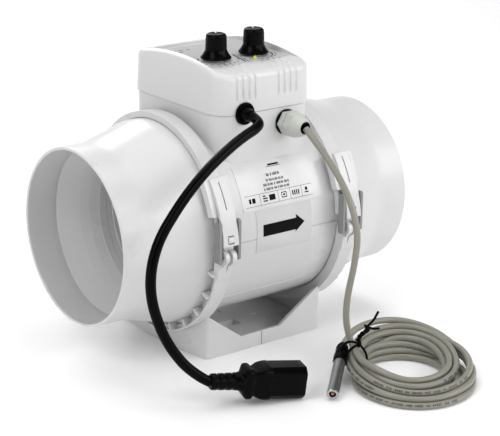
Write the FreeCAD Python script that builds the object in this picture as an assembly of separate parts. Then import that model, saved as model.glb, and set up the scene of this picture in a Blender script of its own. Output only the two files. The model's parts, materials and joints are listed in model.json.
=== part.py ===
import FreeCAD, Part
import math
import os
from FreeCAD import Vector

# Inline duct fan, 125 mm duct size: a mixed-flow fan between two spigots on a mounting base, with a
# terminal box on top, a speed knob, a thermostat knob with a probe on a cable, and a power cord.
# Millimetres. +X is the airflow, from inlet to outlet. -Y is the front. Z is up, and z = 0 is the
# surface that the base stands on.

# Driving dimensions
AXIS_Z = 88.6               # height of the duct axis
DUCT_HALF = 123.3           # from the middle to each spigot's lip
SPIGOT_R = 61.5             # outside radius of the spigots
SPIGOT_WALL = 2.2
WAIST_X = 104.0             # where the spigot's cylinder starts to flare
FLARE_R = 71.4              # spigot radius beside the clamp band
FLANGE_R = 73.9             # flanges that the clamp bands hold together
FLANGE_OUT = 55.8           # outer face of the spigot flange
FLANGE_MID = 53.4           # inner face of the spigot flange, where the seal starts
SEAL_T = 0.8
DRUM_R = 70.5
DRUM_WALL = 2.5
DRUM_HALF = 50.8            # half-length of the casing between its flanges

BAND_R = 76.0               # outside of the upper clamp bands
BAND_OUT = 57.7
BAND_IN = 47.0
STRAP_R = 78.4              # outside of the base's lower half-rings
STRAP_OUT = 60.0
STRAP_IN = 48.8
RING_BORE = 74.2            # inside of bands and straps, round the flanges

BASE_X = 50.5               # half-length of the base at its corners
BASE_BOW = 5.0              # how far each end wall bows out
BASE_Y = 53.5
BASE_WALL = 2.5
BASE_CORNER = 3.0
FLOOR_T = 4.5
WINDOW = (-8.7, 4.4, -21.4, -12.0)      # window in the floor plate at the front: x from, to, y from, to
SEAM_X = -2.4               # witness line down the front wall
NOTCH = [(-49.0, 31.3), (-20.5, 10.6), (14.0, 10.6), (48.0, 33.0)]      # x and z of the notched walls
SLOT_X = 38.0               # screw slots in the floor plate: centres, length and half-width
SLOT_Y = 40.0
SLOT_LENGTH = 9.0
SLOT_R = 2.6
RIB_COUNT = 12              # ribs beside each spigot on a lower half-ring
RIB_FIRST = 13.6            # angle of the first rib under the front horizontal, in degrees
RIB_T = 1.8
CHANNEL_R = 77.0            # the ring's outer wall, past its body, is this far from the duct axis inside
CHANNEL_X = 57.0

LATCH_X = 53.6              # middle of each latch
PIVOT_Y = 79.5
PIVOT_Z = 83.5
AXLE_R = 1.5
RUNNING = 0.06              # radial clearance of a turning fit
TONGUE_DROP = 4.8           # the tongue bends about a line this far under the duct axis
TONGUE_R = 84.0             # outside of the tongue about that line
TONGUE_T = 2.3
TONGUE_HALF = 6.2
ROOT_HALF = 10.4            # the tongue's root: half-width, outside radius and lower end's angle
ROOT_R = 79.6
ROOT_LOW = 16.6
ROOT_HIGH = 35.5
CHEEK_T = 2.1
CHEEK_GAP = 0.6             # between the tongue's side and the lever's cheek

BLADES = 7
VANES = 9
SHAFT_R = 4.0               # motor shaft
POT_START = -4.0            # pot round the motor, inside the guide vanes
POT_END = 46.0
POT_R = 40.0
SLEEVE_R = 67.6             # sleeve round the guide vanes

BOX_X = 41.6                # terminal box: half-length and half-depth at the seam
BOX_Y = 52.2
BOX_CORNER = 14.0
BOX_STEP = 1.2              # how far the cover's ends overhang the lower box
BOX_WALL = 2.5
SEAM_Z = 170.0
CROWN_Z = 203.8             # highest point of the cover
CROWN_R = 200.0             # the cover's top is an arc of this radius along Y
PANEL_Z = 199.5             # recessed control panel
PANEL_X = 35.8
PANEL_BACK = 34.0
GROOVE_X = (10.0, 15.1, 20.2, 25.4)
GROOVE_MID = -1.2           # x of the line between the two groups of grooves
GROOVE_R = 1.25             # radius of the cutter that leaves a groove
GROOVE_DEPTH = 0.75
GROOVE_LOW = 179.0
GROOVE_BACK = -30.5
COVER_SCREW_X = 22.0
COVER_SCREW_Z = 177.0
LED = (7.2, -28.0)
LED_R = 1.5

BOARD_Z = 172.0
BOARD_T = 1.6
BOARD_SCREW = (30.0, 36.0)
LEAD_X = 22.0               # where the motor's lead comes up through the drum

KNOB_X = (-16.8, 15.6)       # the speed knob and the thermostat knob
KNOB_Y = -15.6
KNOB_Z = 201.0
KNOB_TOP = 218.0
POT_SHAFT_R = 3.0

CORD_D = 7.0                # power cord
CABLE_D = 4.5               # sensor cable
GROMMET = (-20.3, 170.5)    # x and z of the power cord's grommet in the front wall
GLAND = (15.6, 159.5)       # x and z of the sensor cable's gland

COIL_CENTRE = (41.0, -157.0)
COIL_HALF_LONG = 53.0       # outer half-axes of the oval coil of cable
COIL_HALF_WIDE = 45.5
COIL_HOLE_LONG = 29.0
COIL_HOLE_WIDE = 23.0
COIL_TURN = 51.5            # angle of the oval's long axis from +X, in degrees
COIL_LOW = 13.5             # height of the coil at its front end and at its back end
COIL_HIGH = 24.0

# Routes of the two cords, from the exit to the far end
CORD_ROUTE = [
    (-20.3, -60.5, 170.2), (-20.5, -69.0, 168.6), (-27.4, -75.5, 166.8), (-42.0, -79.0, 163.8),
    (-60.0, -83.5, 157.6), (-81.0, -88.0, 147.6), (-102.5, -91.0, 130.5), (-122.5, -94.0, 108.5),
    (-130.0, -98.0, 82.0), (-125.0, -104.0, 55.5), (-115.0, -110.0, 35.5), (-102.5, -115.0, 22.5),
    (-96.0, -117.5, 18.6),
]
CABLE_ROUTE = [
    (15.6, -73.8, 159.3), (16.2, -82.5, 153.0), (19.0, -95.5, 141.0), (20.8, -112.5, 123.0),
    (21.0, -124.5, 100.0), (19.3, -124.0, 77.0), (16.8, -120.5, 54.0), (15.8, -120.5, 35.0),
    (18.5, -124.0, 20.0),
]
PLUG_NOSE = Vector(-35.5, -137.7, 11.6)
PROBE_TIP = Vector(-25.0, -156.0, 4.9)
PROBE_ROOT = Vector(16.0, -119.0, 17.0)
PROBE_R = 4.1

NODES = {}


def add(name, shape):
    NODES[name] = shape
    return shape


def box(x0, x1, y0, y1, z0, z1):
    return Part.makeBox(x1 - x0, y1 - y0, z1 - z0, Vector(x0, y0, z0))


def rod(x, y, z, radius, length, direction=Vector(0, 0, 1)):
    return Part.makeCylinder(radius, length, Vector(x, y, z), direction)


def tube_x(x0, x1, outer, inner, y=0.0, z=AXIS_Z):
    """A ring about a line parallel to X."""
    along = Vector(1, 0, 0)
    shape = rod(x0, y, z, outer, x1 - x0, along)
    return shape.cut(rod(x0 - 1, y, z, inner, x1 - x0 + 2, along)) if inner else shape


def revolve_x(points):
    """Turns a closed outline of (x, radius) points about the duct axis."""
    corners = [Vector(x, 0, AXIS_Z + r) for x, r in points]
    face = Part.Face(Part.makePolygon(corners + corners[:1]))
    return face.revolve(Vector(0, 0, AXIS_Z), Vector(1, 0, 0), 360)


def revolve_z(points, x, y):
    """Turns a closed outline of (radius, z) points about a vertical line."""
    corners = [Vector(x + r, y, z) for r, z in points]
    face = Part.Face(Part.makePolygon(corners + corners[:1]))
    return face.revolve(Vector(x, y, 0), Vector(0, 0, 1), 360)


def prism_x(points, x0, x1):
    """Extrudes a closed outline of (y, z) points along X."""
    corners = [Vector(x0, y, z) for y, z in points]
    return Part.Face(Part.makePolygon(corners + corners[:1])).extrude(Vector(x1 - x0, 0, 0))


def sector(angle0, angle1, radius=120.0, half=80.0):
    """A wedge about the duct axis. Angles are up from the front horizontal, in degrees."""
    steps = 6
    outline = [Vector(-half, 0, AXIS_Z)]
    for i in range(steps + 1):
        a = math.radians(angle0 + (angle1 - angle0) * i / steps)
        outline.append(Vector(-half, -radius * math.cos(a), AXIS_Z + radius * math.sin(a)))
    face = Part.Face(Part.makePolygon(outline + outline[:1]))
    return face.extrude(Vector(2 * half, 0, 0))


def arc_band(x0, x1, inner, outer, angle0, angle1):
    return tube_x(x0, x1, outer, inner).common(sector(angle0, angle1))


def flip_x(shape):
    return shape.mirror(Vector(0, 0, 0), Vector(1, 0, 0))


def flip_y(shape):
    return shape.mirror(Vector(0, 0, 0), Vector(0, 1, 0))


def four_ways(shape):
    """A feature of one quarter, repeated in the other three."""
    pair = [shape, flip_y(shape)]
    return pair + [flip_x(s) for s in pair]


def rounded_outline(half_x, half_y, radius, z):
    """A rectangle with round corners, as a wire at height z."""
    edges = []
    corners = [(1, 1, 0), (-1, 1, 90), (-1, -1, 180), (1, -1, 270)]
    ends = []
    for sx, sy, start in corners:
        centre = Vector(sx * (half_x - radius), sy * (half_y - radius), z)
        turns = [math.radians(start + t) for t in (0, 45, 90)]
        arc = [centre + Vector(math.cos(t), math.sin(t), 0) * radius for t in turns]
        ends.append(arc)
    for i, arc in enumerate(ends):
        edges.append(Part.Arc(*arc).toShape())
        edges.append(Part.LineSegment(arc[2], ends[(i + 1) % 4][0]).toShape())
    return Part.Wire(edges)


def rounded_prism(half_x, half_y, radius, z0, z1, centre=(0, 0)):
    shape = Part.Face(rounded_outline(half_x, half_y, radius, z0)).extrude(Vector(0, 0, z1 - z0))
    shape.translate(Vector(centre[0], centre[1], 0))
    return shape


def hexagon(across_flats, length, x, y, z, axis):
    """A hexagonal prism, along +Z or along -Y."""
    corner = across_flats / math.sqrt(3)
    turns = [math.radians(60 * i) for i in range(6)]
    outline = [Vector(math.cos(t), math.sin(t), 0) * corner for t in turns]
    shape = Part.Face(Part.makePolygon(outline + outline[:1])).extrude(Vector(0, 0, length))
    if axis == "-Y":
        shape.rotate(Vector(0, 0, 0), Vector(1, 0, 0), 90)
    shape.translate(Vector(x, y, z))
    return shape


# ---------------------------------------------------------------- spigots, seals and casing

def flare(offset):
    """The spigot's flare from its waist to the clamp band, offset inwards by a wall."""
    points = [(WAIST_X, SPIGOT_R), (93.0, 63.1), (83.0, 65.9), (71.0, 69.5), (60.0, FLARE_R)]
    curve = Part.BSplineCurve()
    curve.interpolate([Vector(x, 0, AXIS_Z + r - offset) for x, r in points],
                      InitialTangent=Vector(-1, 0, 0), FinalTangent=Vector(-1, 0, 0))
    return curve.toShape()


def line(a, b):
    return Part.LineSegment(Vector(a[0], 0, AXIS_Z + a[1]), Vector(b[0], 0, AXIS_Z + b[1])).toShape()


def spigot():
    """The outlet spigot. Its wall has one thickness, with a round lip and the flange at the other end."""
    inner = SPIGOT_R - SPIGOT_WALL
    lip = SPIGOT_WALL / 2
    bore = FLARE_R - SPIGOT_WALL
    lip_arc = Part.Arc(Vector(DUCT_HALF - lip, 0, AXIS_Z + inner),
                       Vector(DUCT_HALF, 0, AXIS_Z + SPIGOT_R - lip),
                       Vector(DUCT_HALF - lip, 0, AXIS_Z + SPIGOT_R)).toShape()
    edges = [
        lip_arc,
        line((DUCT_HALF - lip, SPIGOT_R), (WAIST_X, SPIGOT_R)),
        flare(0),
        line((60.0, FLARE_R), (FLANGE_OUT, FLARE_R)),
        line((FLANGE_OUT, FLARE_R), (FLANGE_OUT, FLANGE_R)),
        line((FLANGE_OUT, FLANGE_R), (FLANGE_MID, FLANGE_R)),
        line((FLANGE_MID, FLANGE_R), (FLANGE_MID, bore)),
        line((FLANGE_MID, bore), (60.0, bore)),
        flare(SPIGOT_WALL),
        line((WAIST_X, inner), (DUCT_HALF - lip, inner)),
    ]
    face = Part.Face(Part.Wire(Part.__sortEdges__(edges)))
    return face.revolve(Vector(0, 0, AXIS_Z), Vector(1, 0, 0), 360)


def inlet_cone():
    """The cone inside the inlet spigot that leads the air into the impeller's eye, with two fine steps."""
    mouth_x = -99.5
    mouth_r = SPIGOT_R - SPIGOT_WALL + 0.1
    eye_x = -69.6
    step_x = -63.6
    end_x = -58.6
    eye_r = 50.0
    wall = 1.6
    step = 0.2
    return revolve_x([(mouth_x, mouth_r), (-92.0, 56.5), (-84.0, 53.6), (-77.0, 51.6), (eye_x, eye_r + step),
                       (eye_x, eye_r), (step_x, eye_r), (step_x, eye_r + step), (end_x, eye_r + step),
                       (end_x, eye_r + wall), (eye_x + 0.5, eye_r + wall), (-77.0, 51.6 + wall),
                       (-84.0, 53.6 + wall), (-92.0, 56.5 + wall), (mouth_x, mouth_r + 0.12)])


def cone_rib():
    """The flat ring that holds the cone's throat in the middle of the duct."""
    throat_r = 51.6
    return revolve_x([(-66.5, throat_r), (-64.9, throat_r), (-64.9, 68.2), (-66.5, 67.8)])


def ducting():
    out = add("outlet_spigot", spigot())
    add("inlet_spigot", flip_x(out))
    add("inlet_cone", inlet_cone())
    add("inlet_cone_rib", cone_rib())
    seal = tube_x(FLANGE_MID - SEAL_T, FLANGE_MID, FLANGE_R - 0.3, DRUM_R - 1.0)
    add("duct_seals", Part.makeCompound([seal, flip_x(seal)]))


def motor_casing():
    """The drum, its two flanges and the lower half of the terminal box, moulded in one."""
    flange_x = FLANGE_MID - SEAL_T
    bore = DRUM_R - DRUM_WALL
    shape = tube_x(-flange_x, flange_x, DRUM_R, 0)
    for x0 in (-flange_x, DRUM_HALF):
        shape = shape.fuse(tube_x(x0, x0 + flange_x - DRUM_HALF, FLANGE_R, 0))
    foot_z = 131.0
    outer = rounded_prism(BOX_X - BOX_STEP, BOX_Y, BOX_CORNER, foot_z, SEAM_Z)
    inner = rounded_prism(BOX_X - BOX_WALL, BOX_Y - BOX_WALL, BOX_CORNER - BOX_WALL, 100.0, SEAM_Z + 1)
    inner = inner.cut(tube_x(-60, 60, DRUM_R, 0))
    shape = shape.fuse(outer).cut(inner)
    for post in four_ways(rod(*BOARD_SCREW, foot_z, 3.2, BOARD_Z - foot_z)):
        shape = shape.fuse(post)
    for hole in four_ways(rod(*BOARD_SCREW, BOARD_Z - 8.0, 1.1, 9.0)):
        shape = shape.cut(hole)
    lug = box(COVER_SCREW_X - 4.0, COVER_SCREW_X + 4.0, BOX_Y - 7.2, BOX_Y - 2.8, 152.0,
              COVER_SCREW_Z + 5.0)
    lug = lug.cut(rod(COVER_SCREW_X, BOX_Y - 8.0, COVER_SCREW_Z, 1.2, 8.0, Vector(0, 1, 0)))
    shape = shape.fuse(lug).fuse(flip_x(lug))
    shape = shape.cut(tube_x(-60, 60, bore, 0))
    shape = shape.cut(rod(LEAD_X, 0, 150.0, 3.6, 20.0))
    shape = shape.cut(rod(GROMMET[0], -60.0, GROMMET[1], 5.6, 20.0, Vector(0, 1, 0)))
    shape = shape.cut(rod(GLAND[0], -60.0, GLAND[1], 6.1, 20.0, Vector(0, 1, 0)))
    parting = tube_x(-DRUM_HALF, DRUM_HALF, DRUM_R + 1, DRUM_R - 0.3)
    parting = parting.common(box(-DRUM_HALF, DRUM_HALF, -80, 80, AXIS_Z - 1.4, AXIS_Z - 1.0))
    runner = arc_band(-46.5, 46.5, DRUM_R - 0.5, DRUM_R + 0.5, -52.0, -39.0)
    return shape.cut(parting).fuse(runner).fuse(flip_y(runner))


# ---------------------------------------------------------------- base, bands and latches

def base_outline(inset, z):
    """The base in plan: straight front and back, and end walls that bow outwards."""
    x = BASE_X - inset
    y = BASE_Y - inset
    bow = x + BASE_BOW
    edges = [
        Part.Arc(Vector(x, -y, z), Vector(bow, 0, z), Vector(x, y, z)).toShape(),
        Part.LineSegment(Vector(x, y, z), Vector(-x, y, z)).toShape(),
        Part.Arc(Vector(-x, y, z), Vector(-bow, 0, z), Vector(-x, -y, z)).toShape(),
        Part.LineSegment(Vector(-x, -y, z), Vector(x, -y, z)).toShape(),
    ]
    return Part.Face(Part.Wire(edges))


def base_slots():
    """The floor plate's four screw slots, its two windows and its narrow slits."""
    x0, x1, y0, y1 = WINDOW
    window = box(x0, x1, y0, y1, -1, FLOOR_T + 1)
    slit = box(4.6, 5.8, 2.8, 8.2, FLOOR_T - 1.5, FLOOR_T + 1)
    short_slit = box(-2.0, 2.0, -0.5, 0.5, FLOOR_T - 1.5, FLOOR_T + 1)
    short_slit.rotate(Vector(0, 0, 0), Vector(0, 0, 1), -20.0)
    short_slit.translate(Vector(37.4, -28.4, 0))
    cuts = [window, flip_y(window), slit, short_slit]
    for x in (-SLOT_X, SLOT_X):
        for y in (-SLOT_Y, SLOT_Y):
            cuts.append(rounded_prism(SLOT_LENGTH / 2, SLOT_R, SLOT_R - 0.001, -1, FLOOR_T + 1, (x, y)))
    for y in (-11.7, -24.6):
        cuts.append(box(5.5, 47.0, y - 0.3, y + 0.3, FLOOR_T - 0.3, FLOOR_T + 1))
    return cuts


def strap_top():
    """What stands at the top of a half-ring at the outlet's front: a thick end, two knuckles and a hook."""
    block = arc_band(STRAP_IN, STRAP_OUT, RING_BORE, STRAP_R + 0.9, -16.0, -7.0)
    shape = block
    for x0 in (LATCH_X - 4.6, LATCH_X + 1.2):
        shape = shape.fuse(rod(x0, -PIVOT_Y, PIVOT_Z, 4.6, 3.4, Vector(1, 0, 0)))
        web_outline = [(-78.2, 79.5), (-80.0, 77.2), (-82.0, 79.6), (-82.0, 82.0), (-78.0, 83.5)]
        shape = shape.fuse(prism_x(web_outline, x0, x0 + 3.4))
    arm_outline = [(-76.0, 80.0), (-78.0, 80.0), (-78.2, 93.6), (-80.8, 93.6), (-80.8, 98.2), (-77.0, 98.2)]
    arm = prism_x(arm_outline, LATCH_X - 2.1, LATCH_X + 2.1)
    nose = rod(LATCH_X - 2.1, -81.4, 95.95, 2.4, 4.2, Vector(1, 0, 0))
    corners = [Vector(LATCH_X - 2.4, -90.0, 80.6), Vector(LATCH_X + 2.0, -90.0, 80.6),
               Vector(LATCH_X - 0.4, -90.0, 70.6)]
    groove = Part.Face(Part.makePolygon(corners + corners[:1])).extrude(Vector(0, 12.6, 0))
    return shape.fuse(arm).fuse(nose).cut(groove)


def half_ring():
    """One lower half-ring, at the outlet end, with its inner lips and the ribs beside the spigot."""
    top = -4.0
    other_top = -180.0 - top
    ring = arc_band(STRAP_IN, STRAP_OUT, RING_BORE, STRAP_R, other_top, top)
    low = -RIB_FIRST + 2.5
    channel = tube_x(CHANNEL_X, STRAP_OUT + 1, CHANNEL_R, RING_BORE - 1)
    ring = ring.cut(channel.common(sector(-180.0 - low, low)))
    lip_end = FLANGE_MID - SEAL_T - 2.1
    shape = ring.fuse(arc_band(STRAP_IN, lip_end, DRUM_R + 0.7, RING_BORE + 0.2, other_top, top))
    for i in range(RIB_COUNT):
        angle = -RIB_FIRST - i * (180.0 - 2 * RIB_FIRST) / (RIB_COUNT - 1)
        rib = box(CHANNEL_X - 0.5, STRAP_OUT + 2.8, -CHANNEL_R - 0.5, -FLARE_R - 0.7,
                  AXIS_Z - RIB_T / 2, AXIS_Z + RIB_T / 2)
        rib.rotate(Vector(0, 0, AXIS_Z), Vector(1, 0, 0), -angle)
        shape = shape.fuse(rib)
    return shape


def mounting_base():
    """Floor plate, walls with the notched front and back, and the two lower half-rings."""
    height = 40.0
    shape = base_outline(0, 0).extrude(Vector(0, 0, height))
    corners = [e for e in shape.Edges if e.BoundBox.ZLength > height - 1]
    shape = shape.makeFillet(BASE_CORNER, corners)
    hollow = base_outline(BASE_WALL, FLOOR_T).extrude(Vector(0, 0, height))
    shape = shape.cut(hollow)
    shape = shape.cut(tube_x(-70, 70, STRAP_R - 1.5, 0))
    corners = [Vector(x, -60.0, z) for x, z in NOTCH + [(NOTCH[-1][0], 60.0), (NOTCH[0][0], 60.0)]]
    cutter = Part.Face(Part.makePolygon(corners + corners[:1])).extrude(Vector(0, 120.0, 0))
    walls = box(-49, 49, -60, -BASE_Y + BASE_WALL + 1, 0, 60)
    shape = shape.cut(cutter.common(walls.fuse(flip_y(walls))))
    for cut in base_slots():
        shape = shape.cut(cut)
    for x, y in ((21.9, -13.0), (19.2, -27.4), (37.4, -13.0)):
        shape = shape.fuse(box(x - 2.0, x + 2.0, y - 0.5, y + 0.5, FLOOR_T - 0.5, FLOOR_T + 0.7))
    ring = half_ring()
    shape = shape.fuse(ring).fuse(flip_x(ring))
    for top in four_ways(strap_top()):
        shape = shape.fuse(top)
    axle_hole = rod(LATCH_X - 12, -PIVOT_Y, PIVOT_Z, AXLE_R + RUNNING, 24, Vector(1, 0, 0))
    for hole in four_ways(axle_hole):
        shape = shape.cut(hole)
    seam = box(SEAM_X - 0.4, SEAM_X + 0.4, -BASE_Y - 1, -BASE_Y + 0.6, 0.0, 10.6)
    return shape.cut(seam).removeSplitter()


def clamp_band():
    """The outlet's upper band: a half-ring with two lips, and at each side a thick root and a tongue."""
    low = 3.2
    high = 180.0 - low
    shape = arc_band(BAND_IN, BAND_OUT, RING_BORE, BAND_R, low, high)
    shape = shape.fuse(arc_band(FLANGE_OUT + 0.3, BAND_OUT, FLARE_R + 0.4, RING_BORE + 0.2, low, high))
    shape = shape.fuse(arc_band(BAND_IN, DRUM_HALF - 0.4, DRUM_R + 0.5, RING_BORE + 0.2, low, high))
    root = arc_band(LATCH_X - ROOT_HALF, LATCH_X + ROOT_HALF, BAND_R - 1.5, ROOT_R, ROOT_LOW, ROOT_HIGH)
    low_edges = [e for e in root.Edges if e.BoundBox.XLength < 0.1 and e.BoundBox.ZMax < AXIS_Z + 24.0]
    root = root.makeFillet(1.8, low_edges)
    inside = TONGUE_R - TONGUE_T
    tongue = arc_band(LATCH_X - TONGUE_HALF, LATCH_X + TONGUE_HALF, inside, TONGUE_R, 5.6, 37.6)
    slot = arc_band(LATCH_X - 0.4, LATCH_X + 0.4, inside + 0.6, TONGUE_R + 1, 22.4, 35.5)
    tongue = tongue.cut(slot)
    tongue.translate(Vector(0, 0, -TONGUE_DROP))
    window = box(LATCH_X - 2.4, LATCH_X + 2.4, -TONGUE_R - 2, -inside + 4, 93.3, 99.2)
    side = root.fuse(tongue).cut(window)
    return shape.fuse(side).fuse(flip_y(side)).removeSplitter()


def latch():
    """The outlet's front lever: two cheeks beside the tongue, on one axle that turns in the knuckles."""
    inner = TONGUE_HALF + CHEEK_GAP
    outer = inner + CHEEK_T
    axis = Vector(1, 0, 0)
    cheek_low = PIVOT_Z - 2.8
    cheek_high = 108.8
    half = 2.75
    shape = None
    for x0 in (LATCH_X - outer, LATCH_X + inner):
        plate = box(x0, x0 + CHEEK_T, -PIVOT_Y - half, -PIVOT_Y + half, cheek_low, cheek_high)
        ends = [e for e in plate.Edges if e.BoundBox.XLength > CHEEK_T - 0.1]
        plate = plate.makeFillet(1.6, ends)
        shape = plate if shape is None else shape.fuse(plate)
    axle = rod(LATCH_X - outer + 0.5, -PIVOT_Y, PIVOT_Z, AXLE_R, 2 * outer - 1.0, axis)
    return shape.fuse(axle).removeSplitter()


def clamps():
    band = add("outlet_band", clamp_band())
    add("inlet_band", flip_x(band))
    lever = add("latch_outlet_front", latch())
    add("latch_outlet_rear", flip_y(lever))
    add("latch_inlet_front", flip_x(lever))
    add("latch_inlet_rear", flip_x(flip_y(lever)))


# ---------------------------------------------------------------- fan and motor, on the duct axis

def impeller():
    """Hub cone, shroud and curved blades between them."""
    hub = revolve_x([(-57.0, 15.0), (-52.0, 19.0), (-30.0, 30.0), (-8.0, 38.0), (-8.0, 35.6),
                     (-30.0, 27.4), (-50.0, 17.0), (-50.0, SHAFT_R), (-57.0, SHAFT_R)])
    boss = tube_x(-57.0, -16.0, 9.0, SHAFT_R)
    shroud = revolve_x([(-59.5, 49.6), (-54.0, 49.8), (-40.0, 55.5), (-20.0, 64.2), (-10.0, 66.6),
                        (-10.0, 65.1), (-20.0, 62.7), (-40.0, 54.0), (-54.0, 48.3), (-59.5, 48.1)])
    passage = revolve_x([(-53.0, 17.5), (-30.0, 29.0), (-9.0, 36.8), (-10.5, 65.8), (-20.0, 63.4),
                         (-40.0, 54.7), (-53.0, 49.0)])
    start = Vector(-56.0, -20.0, 0)
    middle = Vector(-33.0, -3.0, 0)
    end = Vector(-6.0, 6.0, 0)
    shift = Vector(0, 2.0, 0)
    face = Part.Face(Part.Wire([
        Part.Arc(start, middle, end).toShape(),
        Part.LineSegment(end, end + shift).toShape(),
        Part.Arc(end + shift, middle + shift, start + shift).toShape(),
        Part.LineSegment(start + shift, start).toShape(),
    ]))
    blade = face.extrude(Vector(0, 0, 75.0))
    blade.translate(Vector(0, 0, AXIS_Z))
    shape = hub.fuse(boss).fuse(shroud)
    for i in range(BLADES):
        turned = blade.copy()
        turned.rotate(Vector(0, 0, AXIS_Z), Vector(1, 0, 0), 360.0 * i / BLADES)
        shape = shape.fuse(turned.common(passage))
    return shape


def guide_vanes():
    """The pot that holds the motor, the straightening vanes and the sleeve inside the drum."""
    wall = 2.2
    shape = revolve_x([(POT_START, 11.5), (POT_START, POT_R - 1.5), (POT_START + 1.5, POT_R),
                       (POT_END, POT_R), (POT_END, POT_R - wall), (POT_START + wall, POT_R - wall),
                       (POT_START + wall, 13.5), (6.0, 13.5), (6.0, 11.5)])
    sleeve = tube_x(POT_START, POT_END, SLEEVE_R, SLEEVE_R - 1.6)
    passage = tube_x(-1.0, 44.0, SLEEVE_R - 1.0, POT_R - 1.0)
    blank = box(-2.0, 45.0, -1.0, 1.0, AXIS_Z + 20, AXIS_Z + 75)
    blank.rotate(Vector(20, 0, AXIS_Z), Vector(0, 0, 1), 14)
    shape = shape.fuse(sleeve)
    for i in range(VANES):
        vane = blank.copy()
        vane.rotate(Vector(0, 0, AXIS_Z), Vector(1, 0, 0), 360.0 * (i + 0.5) / VANES)
        shape = shape.fuse(vane.common(passage))
    lead_hole = rod(LEAD_X, 0, AXIS_Z + POT_R - 8, 3.2, 60.0)
    return shape.cut(lead_hole)


def motor():
    """Inner-rotor motor: its shaft carries the impeller on the inlet side."""
    add("guide_vane_block", guide_vanes())
    cap_profile = [(POT_END + 0.1, POT_R), (52.0, POT_R - 3.5), (57.0, POT_R - 11.0), (60.0, 18.0),
                   (60.5, 0.0), (58.0, 0.0), (57.5, 11.6), (48.0, 11.6), (48.0, POT_R - 4.0),
                   (42.5, POT_R - 4.0),
                   (42.5, POT_R - 2.3), (POT_END + 0.1, POT_R - 2.3)]
    add("motor_rear_cap", revolve_x(cap_profile))
    add("stator_core", tube_x(11.0, 35.0, 37.4, 19.6))
    ends = [tube_x(5.0, 10.9, 33.0, 22.0), tube_x(35.1, 41.0, 33.0, 22.0)]
    add("stator_windings", Part.makeCompound(ends))
    add("rotor", tube_x(11.0, 35.0, 19.0, SHAFT_R))
    add("motor_shaft", tube_x(-63.0, 55.5, SHAFT_R, 0))
    bearings = [tube_x(x0, x0 + 7.0, 11.4, SHAFT_R + RUNNING) for x0 in (-3.8, 48.2)]
    add("motor_bearings", Part.makeCompound(bearings))
    add("impeller", impeller())
    nut = tube_x(-60.0, -57.05, 6.5, SHAFT_R)
    add("impeller_nut", nut)
    dome = revolve_x([(-66.0, 0.0), (-65.5, 5.0), (-63.5, 9.5), (-60.5, 12.8), (-57.1, 14.8),
                      (-57.1, 12.6), (-60.0, 10.6), (-62.8, 7.2), (-64.0, 3.0), (-64.1, 0.0)])
    add("impeller_nose_cap", dome)


# ---------------------------------------------------------------- terminal box: cover and controls

def crown(y):
    """Height of the cover's top at y."""
    return CROWN_Z - (y - 2.0) ** 2 / (2 * CROWN_R)


def cover_cut_holes(shape):
    for x in KNOB_X:
        shape = shape.cut(rod(x, KNOB_Y, 185.0, 4.6, 30.0))
    shape = shape.cut(rod(*LED, 185.0, LED_R + 0.1, 30.0))
    for x in (-COVER_SCREW_X, COVER_SCREW_X):
        shape = shape.cut(rod(x, BOX_Y - 6.0, COVER_SCREW_Z, 1.3, 12.0, Vector(0, 1, 0)))
    return shape.cut(rod(GROMMET[0], -60.0, GROMMET[1], 5.6, 20.0, Vector(0, 1, 0)))


def terminal_box_cover():
    """The cover: a drafted shell with a crowned top, the recessed panel and the grooves at the front."""
    lift = 40.0
    draft = 1.3
    outer = Part.makeLoft([rounded_outline(BOX_X + 0.1, BOX_Y + 0.1, BOX_CORNER, SEAM_Z + 0.3),
                           rounded_outline(BOX_X + 0.1 - draft, BOX_Y + 0.1 - draft, BOX_CORNER - draft,
                                           SEAM_Z + lift)], True, True)
    top = Part.makeCylinder(CROWN_R, 120.0, Vector(-60.0, 2.0, CROWN_Z - CROWN_R), Vector(1, 0, 0))
    shape = outer.common(top)
    rim = [e for e in shape.Edges if e.BoundBox.ZMin > SEAM_Z + 20]
    shape = shape.makeFillet(5.0, rim)
    pocket = Part.Face(rounded_outline(PANEL_X, 60.0, 8.0, PANEL_Z)).extrude(Vector(0, 0, 20.0))
    pocket.translate(Vector(0, PANEL_BACK - 60.0, 0))
    shape = shape.cut(pocket)
    low = rounded_prism(BOX_X - BOX_WALL, BOX_Y - BOX_WALL, BOX_CORNER - BOX_WALL, SEAM_Z - 1, 193.0)
    high = rounded_prism(PANEL_X - 3.0, 34.0, 6.0, 192.0, PANEL_Z - 2.4, (0, -2.0))
    shape = shape.cut(low).cut(high)
    cutter = groove_cutter()
    for sign in (-1, 1):
        for x in GROOVE_X:
            groove = cutter.copy()
            groove.translate(Vector(GROOVE_MID + sign * x, 0, 0))
            shape = shape.cut(groove)
    return cover_cut_holes(shape)


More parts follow.
